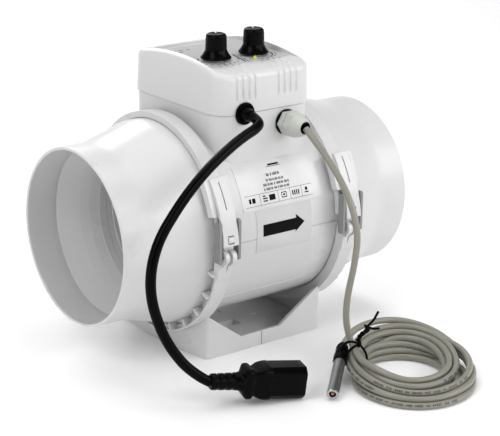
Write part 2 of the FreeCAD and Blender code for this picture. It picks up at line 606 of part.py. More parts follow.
def groove_cutter():
    """A round cutter along the line of a groove, in the plane x = 0: up the front face, over the shoulder
    and out on the panel. Each point is y and z on the cover's surface, and the way out of it there."""
    line = [((-52.1, GROOVE_LOW + 1.2), (-1.0, 0.03)), ((-51.8, 187.0), (-1.0, 0.03)),
            ((-51.6, 192.8), (-1.0, 0.03)), ((-50.57, 195.85), (-0.79, 0.61)),
            ((-47.8, 197.7), (-0.25, 0.97)), ((-43.6, 198.7), (-0.22, 0.98)),
            ((-39.2, PANEL_Z), (-0.1, 1.0)), ((GROOVE_BACK - 3.0, PANEL_Z), (0.0, 1.0)),
            ((GROOVE_BACK, PANEL_Z), (0.0, 1.0))]
    lift = GROOVE_R - GROOVE_DEPTH
    points = [Vector(0, y + ny * lift, z + nz * lift) for (y, z), (ny, nz) in line]
    curve = Part.BSplineCurve()
    curve.interpolate(points)
    spine = Part.Wire(curve.toShape())
    start = curve.FirstParameter
    circle = Part.Circle(points[0], Vector(*curve.tangent(start)[0]), GROOVE_R)
    cutter = spine.makePipeShell([Part.Wire(circle.toShape())], True, False)
    for end in (points[0], points[-1]):
        cutter = cutter.fuse(Part.makeSphere(GROOVE_R, end))
    return cutter


def knob(x, y):
    """A knob with a skirt and fluted sides, hollow underneath, with a blind bore for its shaft."""
    bore_top = KNOB_TOP - 3.0
    outline = [(11.5, KNOB_Z), (11.5, KNOB_Z + 0.9), (10.6, KNOB_Z + 1.5), (7.9, KNOB_Z + 5.0),
               (7.4, KNOB_Z + 6.2), (7.1, KNOB_TOP - 1.8), (6.6, KNOB_TOP - 0.6), (5.6, KNOB_TOP),
               (0.0, KNOB_TOP), (0.0, bore_top), (POT_SHAFT_R, bore_top), (POT_SHAFT_R, KNOB_Z + 3.5),
               (6.2, KNOB_Z + 3.5), (8.6, KNOB_Z)]
    shape = revolve_z(outline, x, y)
    for i in range(24):
        a = math.radians(15.0 * i)
        shape = shape.cut(rod(x + 7.55 * math.cos(a), y + 7.55 * math.sin(a), KNOB_Z + 6.4, 0.35, 9.2))
    return shape


def control(name, x):
    """One control: the knob on its shaft, and the pot under the panel. Returns the pot's nut."""
    y = KNOB_Y
    add(name + "_knob", knob(x, y))
    add(name + "_pot_shaft", rod(x, y, 188.0, POT_SHAFT_R, KNOB_TOP - 3.0 - 188.0))
    body = rod(x, y, 185.0, 10.6, 9.5).fuse(rod(x, y, 194.5, 4.4, 8.0))
    add(name + "_pot_body", body.cut(rod(x, y, 187.8, POT_SHAFT_R + RUNNING, 20.0)))
    return hexagon(10.0, 2.0, x, y, PANEL_Z, "+Z").cut(rod(x, y, PANEL_Z - 1, 4.4, 4.0))


def cover_gasket():
    """The seal in the seam between the lower box and the cover, open where the grommet sits."""
    half_x = BOX_X - BOX_STEP - 0.2
    ring = rounded_prism(half_x, BOX_Y - 0.7, BOX_CORNER - 0.7, SEAM_Z, SEAM_Z + 0.3)
    ring = ring.cut(rounded_prism(half_x - 1.0, BOX_Y - 2.3, BOX_CORNER - 2.3, SEAM_Z - 1, SEAM_Z + 1))
    return ring.cut(box(GROMMET[0] - 5.7, GROMMET[0] + 5.7, -BOX_Y - 1, -BOX_Y + 4, SEAM_Z - 1, SEAM_Z + 1))


def electronics():
    top = BOARD_Z + BOARD_T
    board = rounded_prism(35.0, 42.0, 3.0, BOARD_Z, top)
    for hole in four_ways(rod(*BOARD_SCREW, BOARD_Z - 1, 1.6, 4.0)):
        board = board.cut(hole)
    screw = rod(*BOARD_SCREW, BOARD_Z - 6.0, 1.1, 8.0).fuse(rod(*BOARD_SCREW, top, 2.6, 1.6))
    board = board.cut(rod(LEAD_X, 0, BOARD_Z - 1, 3.8, 4.0))
    add("control_board", board)
    add("board_screws", Part.makeCompound(four_ways(screw)))
    add("transformer", box(-20.0, 10.0, 10.0, 36.0, top, top + 19.0))
    add("relay", box(-32.0, -23.0, 2.0, 21.0, top, top + 15.0))
    heatsink = box(14.0, 16.0, 8.0, 34.0, top, top + 16.0)
    for i in range(4):
        heatsink = heatsink.fuse(box(16.0, 20.0, 9.0 + 7.5 * i, 10.6 + 7.5 * i, top, top + 16.0))
    add("triac_heat_sink", heatsink.removeSplitter())
    add("capacitor", rod(28.0, 24.0, top, 6.0, 18.0))
    block = box(-14.0, 14.0, -40.0, -30.0, top, top + 9.0)
    heads = []
    for i in range(4):
        x = -10.5 + 7.0 * i
        block = block.cut(rod(x, -35.0, top + 3.0, 2.2, 7.0))
        heads.append(rod(x, -35.0, top + 3.0, 2.1, 4.0))
    add("terminal_block", block)
    add("terminal_screws", Part.makeCompound(heads))
    add("cover_gasket", cover_gasket())
    led_z = PANEL_Z + 0.6
    led = rod(*LED, led_z - 4.6, LED_R, 4.6)
    add("status_led", led.fuse(Part.makeSphere(LED_R, Vector(*LED, led_z))))
    lead = rod(LEAD_X, 0, AXIS_Z + POT_R - 2.0, 2.4, BOARD_Z + 7.0 - AXIS_Z - POT_R)
    add("motor_lead", lead)
    back = Vector(0, 1, 0)
    screw = rod(COVER_SCREW_X, BOX_Y - 6.5, COVER_SCREW_Z, 1.2, 7.0, back)
    screw = screw.fuse(rod(COVER_SCREW_X, BOX_Y + 0.15, COVER_SCREW_Z, 2.8, 1.6, back))
    add("box_screws", Part.makeCompound([screw, flip_x(screw)]))


# ---------------------------------------------------------------- cords, gland, plug and probe

def route_wire(points):
    """Straight runs joined by tangent arcs, each as large as its two runs allow. Prints the radii."""
    pts = [Vector(*p) for p in points]
    runs = [(b - a).Length for a, b in zip(pts, pts[1:])]
    edges = []
    radii = []
    at = pts[0]
    for i in range(1, len(pts) - 1):
        before = (pts[i] - pts[i - 1]).normalize()
        after = (pts[i + 1] - pts[i]).normalize()
        turn = before.getAngle(after)
        cut = 0.45 * min(runs[i - 1], runs[i])
        radius = cut / math.tan(turn / 2)
        enter = pts[i] - before * cut
        leave = pts[i] + after * cut
        inward = (after - before).normalize()
        middle = pts[i] + inward * (radius / math.cos(turn / 2) - radius)
        edges.append(Part.LineSegment(at, enter).toShape())
        edges.append(Part.Arc(enter, middle, leave).toShape())
        radii.append(round(radius, 1))
        at = leave
    edges.append(Part.LineSegment(at, pts[-1]).toShape())
    return Part.Wire(edges), radii


def cord_tube(name, points, diameter):
    wire, radii = route_wire(points)
    start = wire.Edges[0]
    first = start.FirstParameter
    circle = Part.Circle(start.valueAt(first), start.tangentAt(first), diameter / 2)
    shape = wire.makePipeShell([Part.Wire(circle.toShape())], True, False)
    ratio = shape.Volume / (math.pi * diameter ** 2 / 4 * wire.Length)
    print(name, "length", round(wire.Length, 1), "radii", radii, "volume ratio", round(ratio, 4))
    return add(name, shape)


def cone_between(base, direction, r0, r1, length):
    if abs(r0 - r1) < 1e-6:
        return Part.makeCylinder(r0, length, base, direction)
    return Part.makeCone(r0, r1, length, base, direction)


def cord_grommet():
    """The moulded grommet: a flange outside, a neck through the wall and a tapered snout."""
    x, z = GROMMET
    out = Vector(0, -1, 0)
    shape = rod(x, -BOX_Y - 0.3, z, 7.8, 1.9, out)
    shape = shape.fuse(rod(x, -BOX_Y + 6.0, z, 5.5, 8.0, out))
    shape = shape.fuse(rod(x, -BOX_Y + 6.0, z, 7.0, 2.4, out))
    tip = Vector(*CORD_ROUTE[0])
    root = Vector(x, -BOX_Y - 1.5, z)
    snout = tip - root
    shape = shape.fuse(cone_between(root, snout, 5.0, CORD_D / 2 + 0.15, snout.Length))
    return shape


def sensor_gland():
    x, z = GLAND
    y = -BOX_Y
    out = Vector(0, -1, 0)
    bore = 2.7
    washer = rod(x, y - 0.05, z, 8.9, 1.9, out).cut(rod(x, y + 1, z, 6.1, 6.0, out))
    add("gland_washer", washer)
    body = hexagon(15.6, 4.6, x, y - 2.0, z, "-Y")
    body = body.fuse(rod(x, y + 10.0, z, 6.0, 12.2, out))
    body = body.fuse(rod(x, y - 6.5, z, 5.6, 5.0, out))
    add("gland_body", body.cut(rod(x, y + 11.0, z, 4.3, 40.0, out)))
    nut = hexagon(15.6, 6.4, x, y - 6.9, z, "-Y")
    dome = cone_between(Vector(x, y - 13.2, z), out, 8.3, 6.8, 4.4)
    dome = dome.fuse(cone_between(Vector(x, y - 17.5, z), out, 6.8, 4.7, 3.5))
    nut = nut.common(rod(x, y, z, 8.6, 30.0, out)).fuse(dome)
    nut = nut.cut(rod(x, y - 6.0, z, 5.7, 6.5, out)).cut(rod(x, y - 6.0, z, 4.2, 30.0, out))
    add("gland_nut", nut)
    insert = rod(x, y - 11.7, z, 4.1, 9.5, out)
    add("gland_insert", insert.cut(rod(x, y, z, bore, 40.0, out)))
    lock = hexagon(15.0, 4.0, x, y + BOX_WALL + 4.2, z, "-Y").cut(rod(x, y + 12.0, z, 6.05, 20.0, out))
    add("gland_locknut", lock)


def place_along(shape, origin, direction):
    """Moves a shape built along +X from the origin so that it lies along a direction from a point."""
    turn = FreeCAD.Rotation(Vector(1, 0, 0), direction)
    upright = turn.multVec(Vector(0, 0, 1))
    side = direction.cross(Vector(0, 0, 1)).normalize()
    wanted = side.cross(direction)
    correction = math.degrees(upright.getAngle(wanted))
    if upright.cross(wanted).dot(direction) < 0:
        correction = -correction
    shape = shape.copy()
    shape.Placement = FreeCAD.Placement(Vector(0, 0, 0), turn)
    shape.rotate(Vector(0, 0, 0), direction, correction)
    shape.translate(origin)
    return shape


def inlet_plug():
    """The cord's plug: a ribbed strain relief, a finger flange, the grip and the nose with its shroud."""
    end = Vector(*CORD_ROUTE[-1])
    direction = (PLUG_NOSE - end).normalize()
    length = (PLUG_NOSE - end).Length
    half_h = 11.0
    half_w = 8.2
    nose = 24.0
    outline = [(-half_w, -half_h + 3.6), (-half_w + 3.6, -half_h), (half_w, -half_h), (half_w, half_h),
               (-half_w + 3.6, half_h), (-half_w, half_h - 3.6)]
    shape = prism_x(outline, length - nose, length)
    well = [(y * 0.78, z * 0.83) for y, z in outline]
    shape = shape.cut(prism_x(well, length - 16.0, length + 1))
    grip = [(length - nose + 0.02, half_w + 0.6, half_h + 0.4),
            (length - nose - 9.0, half_w + 0.2, half_h - 0.6),
            (length - nose - 15.5, half_w - 1.2, half_h - 3.6)]
    for (xa, wa, ha), (xb, wb, hb) in zip(grip, grip[1:]):
        sections = []
        for x, w, h in ((xb, wb, hb), (xa, wa, ha)):
            corners = [Vector(x, -w, -h), Vector(x, w, -h), Vector(x, w, h), Vector(x, -w, h)]
            sections.append(Part.makePolygon(corners + corners[:1]))
        shape = shape.fuse(Part.makeLoft(sections, True, True))
    flange_x = length - nose - 17.0
    shape = shape.fuse(box(flange_x, flange_x + 2.6, -half_w - 0.6, half_w + 0.6,
                           -half_h + 0.6, half_h - 0.6))
    shape = shape.fuse(Part.makeCone(5.2, 6.0, flange_x + 0.5, Vector(0, 0, 0), Vector(1, 0, 0)))
    for i in range(3):
        x = 4.0 + 5.0 * i
        for side in (-1, 1):
            shape = shape.cut(box(x, x + 1.6, -8, 8, side * 5.2 - 1.6, side * 5.2 + 1.6))
    add("plug_body", place_along(shape, end, direction))
    pins = []
    for y, z in ((-2.0, 0.0), (2.0, -6.6), (2.0, 6.6)):
        pin = box(length - 17.0, length - 2.0, y - 1.0, y + 1.0, z - 2.0, z + 2.0)
        pins.append(place_along(pin, end, direction))
    add("plug_pins", Part.makeCompound(pins))


def oval(half_long, half_wide, z):
    curve = Part.Ellipse(Vector(0, 0, z), half_long, half_wide)
    return Part.Face(Part.Wire(curve.toShape()))


def sensor_coil():
    """The outer shape of the coil of sensor cable: an oval ring, lower at its front end."""
    height = COIL_HIGH + 1.0
    ring = oval(COIL_HALF_LONG, COIL_HALF_WIDE, 0).extrude(Vector(0, 0, height))
    ring = ring.cut(oval(COIL_HOLE_LONG, COIL_HOLE_WIDE, -1).extrude(Vector(0, 0, height + 2)))
    span = COIL_HALF_LONG + 2.0
    corners = [Vector(-span, -60, COIL_LOW), Vector(span, -60, COIL_HIGH), Vector(span, -60, 60),
               Vector(-span, -60, 60)]
    top = Part.Face(Part.makePolygon(corners + corners[:1])).extrude(Vector(0, 120, 0))
    ring = ring.cut(top)
    ring.rotate(Vector(0, 0, 0), Vector(0, 0, 1), COIL_TURN)
    ring.translate(Vector(COIL_CENTRE[0], COIL_CENTRE[1], 0))
    channel = rod(*PROBE_TIP, PROBE_R + 1.0, 90.0, probe_direction())
    return ring.cut(channel)


def twist_tie():
    """The wire tie round the coil's bundle: a flat loop across the bundle, with its two ends up."""
    half_width = (COIL_HALF_WIDE - COIL_HOLE_WIDE) / 2 + 1.0
    height = 22.0
    outer = Part.Face(rounded_outline(half_width + 0.8, height / 2 + 0.8, 6.8, -0.9))
    inner = Part.Face(rounded_outline(half_width - 0.8, height / 2 - 0.8, 5.2, -0.9))
    shape = outer.cut(inner).extrude(Vector(0, 0, 1.8))
    for lean in (-1, 1):
        root = Vector(half_width * 0.25, height / 2, 0)
        shape = shape.fuse(Part.makeCylinder(0.9, 15.0, root, Vector(lean * 0.5, 1.0, 0.4)))
    shape.rotate(Vector(0, 0, 0), Vector(1, 0, 0), 90)
    shape.rotate(Vector(0, 0, 0), Vector(0, 0, 1), COIL_TURN + 90.0)
    angle = math.radians(COIL_TURN + 90.0)
    reach = (COIL_HALF_WIDE + COIL_HOLE_WIDE) / 2
    centre = Vector(*COIL_CENTRE, height / 2 + 1.0)
    shape.translate(centre + Vector(math.cos(angle), math.sin(angle), 0) * reach)
    return shape


def probe_direction():
    return (PROBE_ROOT - PROBE_TIP).normalize()


def probe():
    """The steel probe tube with its sensing element, and the heat-shrink sleeve behind it."""
    direction = probe_direction()
    steel = 38.0
    sleeve = 19.0
    tube = rod(*PROBE_TIP, PROBE_R, steel, direction)
    add("probe_tube", tube.cut(rod(*PROBE_TIP, PROBE_R - 1.1, 12.0, direction)))
    add("probe_element", rod(*(PROBE_TIP + direction * 1.2), PROBE_R - 1.15, 9.0, direction))
    sleeve_start = PROBE_TIP + direction * steel
    add("probe_sleeve", cone_between(sleeve_start, direction, PROBE_R + 0.5, PROBE_R - 0.3, sleeve))


def cords():
    add("cord_grommet", cord_grommet())
    sensor_gland()
    cord_tube("power_cord", CORD_ROUTE, CORD_D)
    inlet_plug()
    cord_tube("sensor_cable", CABLE_ROUTE, CABLE_D)
    add("sensor_coil", sensor_coil())
    add("twist_tie", twist_tie())
    probe()


# ---------------------------------------------------------------- labels

def label(x0, x1, angle0, angle1):
    return arc_band(x0, x1, DRUM_R + 0.02, DRUM_R + 0.25, angle0, angle1)


def build():
    add("mounting_base", mounting_base())
    ducting()
    add("motor_casing", motor_casing())
    clamps()
    motor()
    add("terminal_box_cover", terminal_box_cover())
    nuts = [control("speed", KNOB_X[0]), control("thermostat", KNOB_X[1])]
    add("pot_nuts", Part.makeCompound(nuts))
    electronics()
    cords()
    add("rating_label", label(-32.0, 36.0, 15.0, 41.5))
    add("airflow_label", label(-22.0, 26.0, -9.5, 14.2))


build()
os.makedirs("parts", exist_ok=True)
for name, shape in NODES.items():
    solids = shape.Solids
    if not shape.isValid() or not solids:
        print("CHECK", name, "valid", shape.isValid(), "solids", len(solids))
    clean = solids[0] if len(solids) == 1 else Part.makeCompound(solids)
    clean.exportStep("parts/" + name + ".step")
print(len(NODES), "nodes")
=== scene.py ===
import json
import math

import bmesh
import bpy
import numpy as np
from mathutils import Matrix, Vector


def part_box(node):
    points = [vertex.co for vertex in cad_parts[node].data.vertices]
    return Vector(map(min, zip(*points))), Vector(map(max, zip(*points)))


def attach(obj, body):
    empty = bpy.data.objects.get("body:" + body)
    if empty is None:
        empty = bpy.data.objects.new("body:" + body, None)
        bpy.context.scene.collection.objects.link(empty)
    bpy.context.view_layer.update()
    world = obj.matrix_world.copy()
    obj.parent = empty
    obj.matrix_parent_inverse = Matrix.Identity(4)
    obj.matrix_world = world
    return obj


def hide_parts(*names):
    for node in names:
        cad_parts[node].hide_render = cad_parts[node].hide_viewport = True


# An inline duct fan on a white studio floor. Metres, +X along the airflow, -Y the front, +Z up.

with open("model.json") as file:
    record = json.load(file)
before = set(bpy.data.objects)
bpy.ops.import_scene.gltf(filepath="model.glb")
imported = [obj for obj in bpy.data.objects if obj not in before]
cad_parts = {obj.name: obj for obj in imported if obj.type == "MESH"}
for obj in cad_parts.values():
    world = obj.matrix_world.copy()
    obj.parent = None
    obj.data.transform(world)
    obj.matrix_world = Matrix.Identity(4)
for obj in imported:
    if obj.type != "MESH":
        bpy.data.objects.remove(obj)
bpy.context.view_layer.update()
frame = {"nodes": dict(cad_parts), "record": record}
NODES = frame["nodes"]
SCENE = bpy.context.scene
MM = 0.001

# ---------------------------------------------------------------- places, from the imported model

AXIS_Z = 88.6
DRUM_R = 70.5
LABEL_R = DRUM_R + 0.25     # outer face of the labels on the drum
PANEL_Z = 199.5
CORD_D = 7.0 * MM
CORD_ROUTE = [
    (-20.3, -60.5, 170.2), (-20.5, -69.0, 168.6), (-27.4, -75.5, 166.8), (-42.0, -79.0, 163.8),
    (-60.0, -83.5, 157.6), (-81.0, -88.0, 147.6), (-102.5, -91.0, 130.5), (-122.5, -94.0, 108.5),
    (-130.0, -98.0, 82.0), (-125.0, -104.0, 55.5), (-115.0, -110.0, 35.5), (-102.5, -115.0, 22.5),
    (-96.0, -117.5, 18.6),
]
CABLE_D = 4.5 * MM
CABLE_ROUTE = [
    (15.6, -73.8, 159.3), (16.2, -82.5, 153.0), (19.0, -95.5, 141.0), (20.8, -112.5, 123.0),
    (21.0, -124.5, 100.0), (19.3, -124.0, 77.0), (16.8, -120.5, 54.0), (15.8, -120.5, 35.0),
    (18.5, -124.0, 20.0),
]
COIL_CENTRE = Vector((41.0, -157.0, 0.0)) * MM
COIL_TURN = math.radians(51.5)
COIL_LONG = 41.0            # the turns' middle half-axes, in millimetres
COIL_WIDE = 34.0
PLUG_NOSE = Vector((-35.5, -137.7, 11.6))
PROBE_TIP = Vector((-25.0, -156.0, 4.9))
PROBE_ROOT = Vector((16.0, -119.0, 17.0))
PROBE_STEEL = 38.0          # length of the probe's steel tube
GROMMET_Z = 170.5
BOX_FRONT_Y = -52.2         # outer face of the terminal box at the front


# ---------------------------------------------------------------- camera, floor and light

CAMERA_PLACE = (-0.6917, -0.9057, 0.4554)
CAMERA_TURN = (-38.46, 18.26, 1.06)     # azimuth, elevation and roll, in degrees
CAMERA_LENS = 120.9
FLOOR_GLOW = 0.03           # the white floor's own light near the fan and far from it
FAR_GLOW = 0.66
WALL_GLOW = 0.95            # the white room, from its walls to its ceiling
ROOM_GLOW = 0.15
GLOW_FROM = 0.8             # the floor's own light grows between these distances from the fan
GLOW_TO = 3.2
SKY_FROM = 0.04             # the room darkens between these heights of the direction looked in
SKY_TO = 0.36
AIM = (0.0, 0.0, 0.1)
LIGHTS = (                  # name, place, size, power
    ("overhead", (0.1, 0.1, 1.6), (1.6, 1.2), 11.7),
    ("front_right", (1.3, -1.5, 1.0), (1.2, 1.2), 18.3),
    ("left", (-1.8, -0.2, 0.9), (0.8, 1.4), 6.9),
    ("high_left", (-1.2, -0.3, 1.5), (0.8, 0.8), 8.0),
    ("front", (0.2, -2.0, 1.2), (0.8, 0.8), 10.2),
    ("behind", (0.4, 1.7, 1.3), (1.2, 1.0), 20.3),
)


def camera():
    """The camera looks at the fan's left front from a little above."""
    azimuth, elevation, roll = [math.radians(angle) for angle in CAMERA_TURN]
    right = Vector((math.cos(azimuth), math.sin(azimuth), 0.0))
    back = Vector((math.sin(azimuth) * math.cos(elevation), -math.cos(azimuth) * math.cos(elevation),
                   math.sin(elevation)))
    up = back.cross(right)
    across = right * math.cos(roll) + up * math.sin(roll)
    upright = up * math.cos(roll) - right * math.sin(roll)
    data = bpy.data.cameras.new("camera")
    data.sensor_width = 36.0
    data.lens = CAMERA_LENS
    data.clip_start = 0.05
    data.clip_end = 50.0
    eye = bpy.data.objects.new("camera", data)
    turn = Matrix((across, upright, back)).transposed()
    eye.matrix_world = Matrix.Translation(CAMERA_PLACE) @ turn.to_4x4()
    SCENE.collection.objects.link(eye)
    SCENE.camera = eye


def area_light(name, place, aim, size, power):
    """A soft rectangular light in watts, aimed at a point."""
    data = bpy.data.lights.new(name, "AREA")
    data.shape = "RECTANGLE"
    data.size, data.size_y = size
    data.energy = power
    lamp = bpy.data.objects.new(name, data)
    lamp.location = place
    lamp.rotation_euler = (Vector(aim) - Vector(place)).to_track_quat("-Z", "Y").to_euler()
    SCENE.collection.objects.link(lamp)


def ramp(tree, value, start, end, low, high):
    """Eases from low to high as the value goes from start to end."""
    node = tree.nodes.new("ShaderNodeMapRange")
    node.interpolation_type = "SMOOTHSTEP"
    node.inputs["From Min"].default_value = start
    node.inputs["From Max"].default_value = end
    node.inputs["To Min"].default_value = low
    node.inputs["To Max"].default_value = high
    tree.links.new(value, node.inputs["Value"])
    return node.outputs["Result"]


def studio():
    """A plain white floor in a white room, with soft lights overhead and all round."""
    bpy.ops.mesh.primitive_plane_add(size=30.0, location=(0.0, 0.0, 0.0))
    floor = bpy.context.object
    floor.name = "studio_floor"
    paint = bpy.data.materials.new("floor_white")
    paint.use_nodes = True
    shader = paint.node_tree.nodes["Principled BSDF"]
    shader.inputs["Base Color"].default_value = (0.93, 0.93, 0.93, 1.0)
    shader.inputs["Roughness"].default_value = 0.9
    shader.inputs["Emission Color"].default_value = (1.0, 1.0, 1.0, 1.0)
    tree = paint.node_tree
    place = tree.nodes.new("ShaderNodeTexCoord")
    reach = tree.nodes.new("ShaderNodeVectorMath")
    reach.operation = "LENGTH"
    tree.links.new(place.outputs["Object"], reach.inputs[0])
    tree.links.new(ramp(tree, reach.outputs["Value"], GLOW_FROM, GLOW_TO, FLOOR_GLOW, FAR_GLOW),
                   shader.inputs["Emission Strength"])
    floor.data.materials.append(paint)
    world = bpy.data.worlds.new("white_room")
    world.use_nodes = True
    sky = world.node_tree.nodes["Background"]
    sky.inputs["Color"].default_value = (1.0, 1.0, 1.0, 1.0)
    tree = world.node_tree
    place = tree.nodes.new("ShaderNodeTexCoord")
    split = tree.nodes.new("ShaderNodeSeparateXYZ")
    tree.links.new(place.outputs["Generated"], split.inputs["Vector"])
    tree.links.new(ramp(tree, split.outputs["Z"], SKY_FROM, SKY_TO, WALL_GLOW, ROOM_GLOW),
                   sky.inputs["Strength"])
    SCENE.world = world
    for name, spot, size, power in LIGHTS:
        area_light(name, spot, AIM, size, power)
    SCENE.view_settings.view_transform = "Standard"


# ---------------------------------------------------------------- materials

def noise(tree, scale, detail=3.0, distortion=0.0):
    """Noise in the object's own coordinates."""
    place = tree.nodes.new("ShaderNodeTexCoord")
    cloud = tree.nodes.new("ShaderNodeTexNoise")
    cloud.inputs["Scale"].default_value = scale
    cloud.inputs["Detail"].default_value = detail
    cloud.inputs["Distortion"].default_value = distortion
    tree.links.new(place.outputs["Object"], cloud.inputs["Vector"])
    return cloud.outputs["Fac"]


def spread(tree, value, low, high):
    """Maps the middle of a noise's range to low..high."""
    node = tree.nodes.new("ShaderNodeMapRange")
    node.inputs["From Min"].default_value = 0.3
    node.inputs["From Max"].default_value = 0.7
    node.inputs["To Min"].default_value = low
    node.inputs["To Max"].default_value = high
    tree.links.new(value, node.inputs["Value"])
    return node.outputs["Result"]


def finish_material(name, color, roughness, metallic=0.0, tint=0.04, tint_scale=14.0, rough_spread=0.03,
                    rough_scale=25.0, grain=400.0, grain_depth=0.02, specular=0.5, edge=0.0):
    """A moulded or metal surface: slow colour variation, uneven gloss, a fine grain and rounded edges."""
    paint = bpy.data.materials.new(name)
    paint.use_nodes = True
    tree = paint.node_tree
    shader = tree.nodes["Principled BSDF"]
    shader.inputs["Metallic"].default_value = metallic
    shader.inputs["Specular IOR Level"].default_value = specular
    mix = tree.nodes.new("ShaderNodeMix")
    mix.data_type = "RGBA"
    mix.inputs["A"].default_value = (*[c * (1.0 - tint) for c in color], 1.0)
    mix.inputs["B"].default_value = (*[min(1.0, c * (1.0 + tint)) for c in color], 1.0)
    tree.links.new(noise(tree, tint_scale), mix.inputs["Factor"])
    tree.links.new(mix.outputs["Result"], shader.inputs["Base Color"])
    gloss = spread(tree, noise(tree, rough_scale, 2.0), max(0.02, roughness - rough_spread),
                   roughness + rough_spread)
    tree.links.new(gloss, shader.inputs["Roughness"])
    bump = tree.nodes.new("ShaderNodeBump")
    bump.inputs["Strength"].default_value = grain_depth
    bump.inputs["Distance"].default_value = 0.0004
    tree.links.new(noise(tree, grain, 1.0), bump.inputs["Height"])
    if edge:
        bevel = tree.nodes.new("ShaderNodeBevel")
        bevel.samples = 4
        bevel.inputs["Radius"].default_value = edge * MM
        tree.links.new(bevel.outputs["Normal"], bump.inputs["Normal"])
    tree.links.new(bump.outputs["Normal"], shader.inputs["Normal"])
    return paint


WHITE = (0.620, 0.617, 0.622)
PAINTS = {
    "white_plastic": finish_material("white_plastic", WHITE, 0.30, tint=0.015, grain=150.0, grain_depth=0.012,
                                     edge=0.5),
    "grey_plastic": finish_material("grey_plastic", (0.235, 0.235, 0.233), 0.42, tint=0.05, grain_depth=0.05,
                                    edge=0.4),
    "gland_plastic": finish_material("gland_plastic", (0.50, 0.515, 0.475), 0.36, tint=0.03, grain_depth=0.04,
                                     edge=0.5),
    "black_plastic": finish_material("black_plastic", (0.0016, 0.0016, 0.0018), 0.21, tint=0.2,
                                     grain_depth=0.04, specular=0.055, edge=0.3),
    "black_rubber": finish_material("black_rubber", (0.0014, 0.0014, 0.0016), 0.21, tint=0.2,
                                    grain_depth=0.03, specular=0.05),
    "cable_jacket": finish_material("cable_jacket", (0.24, 0.233, 0.197), 0.36, tint=0.05, grain_depth=0.06),
    "steel": finish_material("steel", (0.45, 0.45, 0.46), 0.20, metallic=1.0, tint=0.05, rough_spread=0.05),
    "copper": finish_material("copper", (0.60, 0.20, 0.10), 0.35, metallic=0.6, tint=0.08),
    "brass": finish_material("brass", (0.78, 0.70, 0.48), 0.25, metallic=1.0, tint=0.05),
    "aluminium": finish_material("aluminium", (0.75, 0.75, 0.76), 0.32, metallic=1.0, tint=0.04),
    "circuit_board": finish_material("circuit_board", (0.02, 0.12, 0.05), 0.45, tint=0.15),
    "led_lens": finish_material("led_lens", (0.55, 0.52, 0.03), 0.15, tint=0.1),
    "label_white": finish_material("label_white", (0.635, 0.633, 0.636), 0.22, tint=0.012, grain_depth=0.005),
    "label_clear": finish_material("label_clear", (0.590, 0.588, 0.592), 0.18, tint=0.012, grain_depth=0.005),
}
PRINT_BLACK = finish_material("print_black", (0.004, 0.004, 0.004), 0.35, tint=0.3, specular=0.05)
PRINT_GREY = finish_material("print_grey", (0.045, 0.045, 0.045), 0.4, tint=0.2, specular=0.3)
PANEL_GREY = finish_material("panel_grey", (0.44, 0.44, 0.446), 0.30, tint=0.03)
# Painted highlight: the white of the short bar on each knob's top stands in for a small glint of light.
PAINTED_HIGHLIGHT_WHITE = finish_material("painted_highlight_white", (0.75, 0.75, 0.74), 0.35, tint=0.03)


def paint_cad_nodes():
    """Gives every CAD node the material of its slot in the record."""
    for row in frame["record"]["subparts"]:
        data = NODES[row["node"]].data
        data.materials.clear()
        data.materials.append(PAINTS[row["material_slot"]])


# ---------------------------------------------------------------- building pieces

def piece_from_mesh(name, mesh, paint, body, smooth=32.0):
    """Links a finished mesh as a piece that rides on a body."""
    for face in mesh.polygons:
        face.use_smooth = True
    mesh.set_sharp_from_angle(angle=math.radians(smooth))
    mesh.materials.append(paint)
    piece = bpy.data.objects.new(name, mesh)
    SCENE.collection.objects.link(piece)
    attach(piece, body)
    return piece


def loft(name, rings, paint, body, closed=False, smooth=32.0):
    """A skin over rings of equal size, given in millimetres, capped at both ends or closed end to end."""
    count = len(rings[0])
    points = [Vector(p) * MM for ring in rings for p in ring]
    faces = []
    last = len(rings) if closed else len(rings) - 1
    for i in range(last):
        here = i * count
        there = (i + 1) % len(rings) * count
        for k in range(count):
            step = (k + 1) % count
            faces.append((here + k, here + step, there + step, there + k))
    if not closed:
        faces.append(tuple(reversed(range(count))))
        faces.append(tuple(range((len(rings) - 1) * count, len(rings) * count)))
    mesh = bpy.data.meshes.new(name)
    mesh.from_pydata(points, [], faces)
    form = bmesh.new()
    form.from_mesh(mesh)
    bmesh.ops.recalc_face_normals(form, faces=form.faces)
    form.to_mesh(mesh)
    form.free()
    return piece_from_mesh(name, mesh, paint, body, smooth)


def turned(name, profile, origin, axis, paint, body, segments=64, ripple=None):
    """A turned shape: profile points are (radius, distance along the axis) round a closed outline."""
    axis = Vector(axis).normalized()
    side = axis.orthogonal().normalized()
    other = axis.cross(side)
    rings = []
    for k in range(segments):
        angle = 2 * math.pi * k / segments
        spoke = side * math.cos(angle) + other * math.sin(angle)
        ring = []
        for radius, along in profile:
            if ripple:
                radius = ripple(radius, along, angle)
            ring.append(Vector(origin) + axis * along + spoke * radius)
        rings.append(ring)
    return loft(name, rings, paint, body, closed=True)


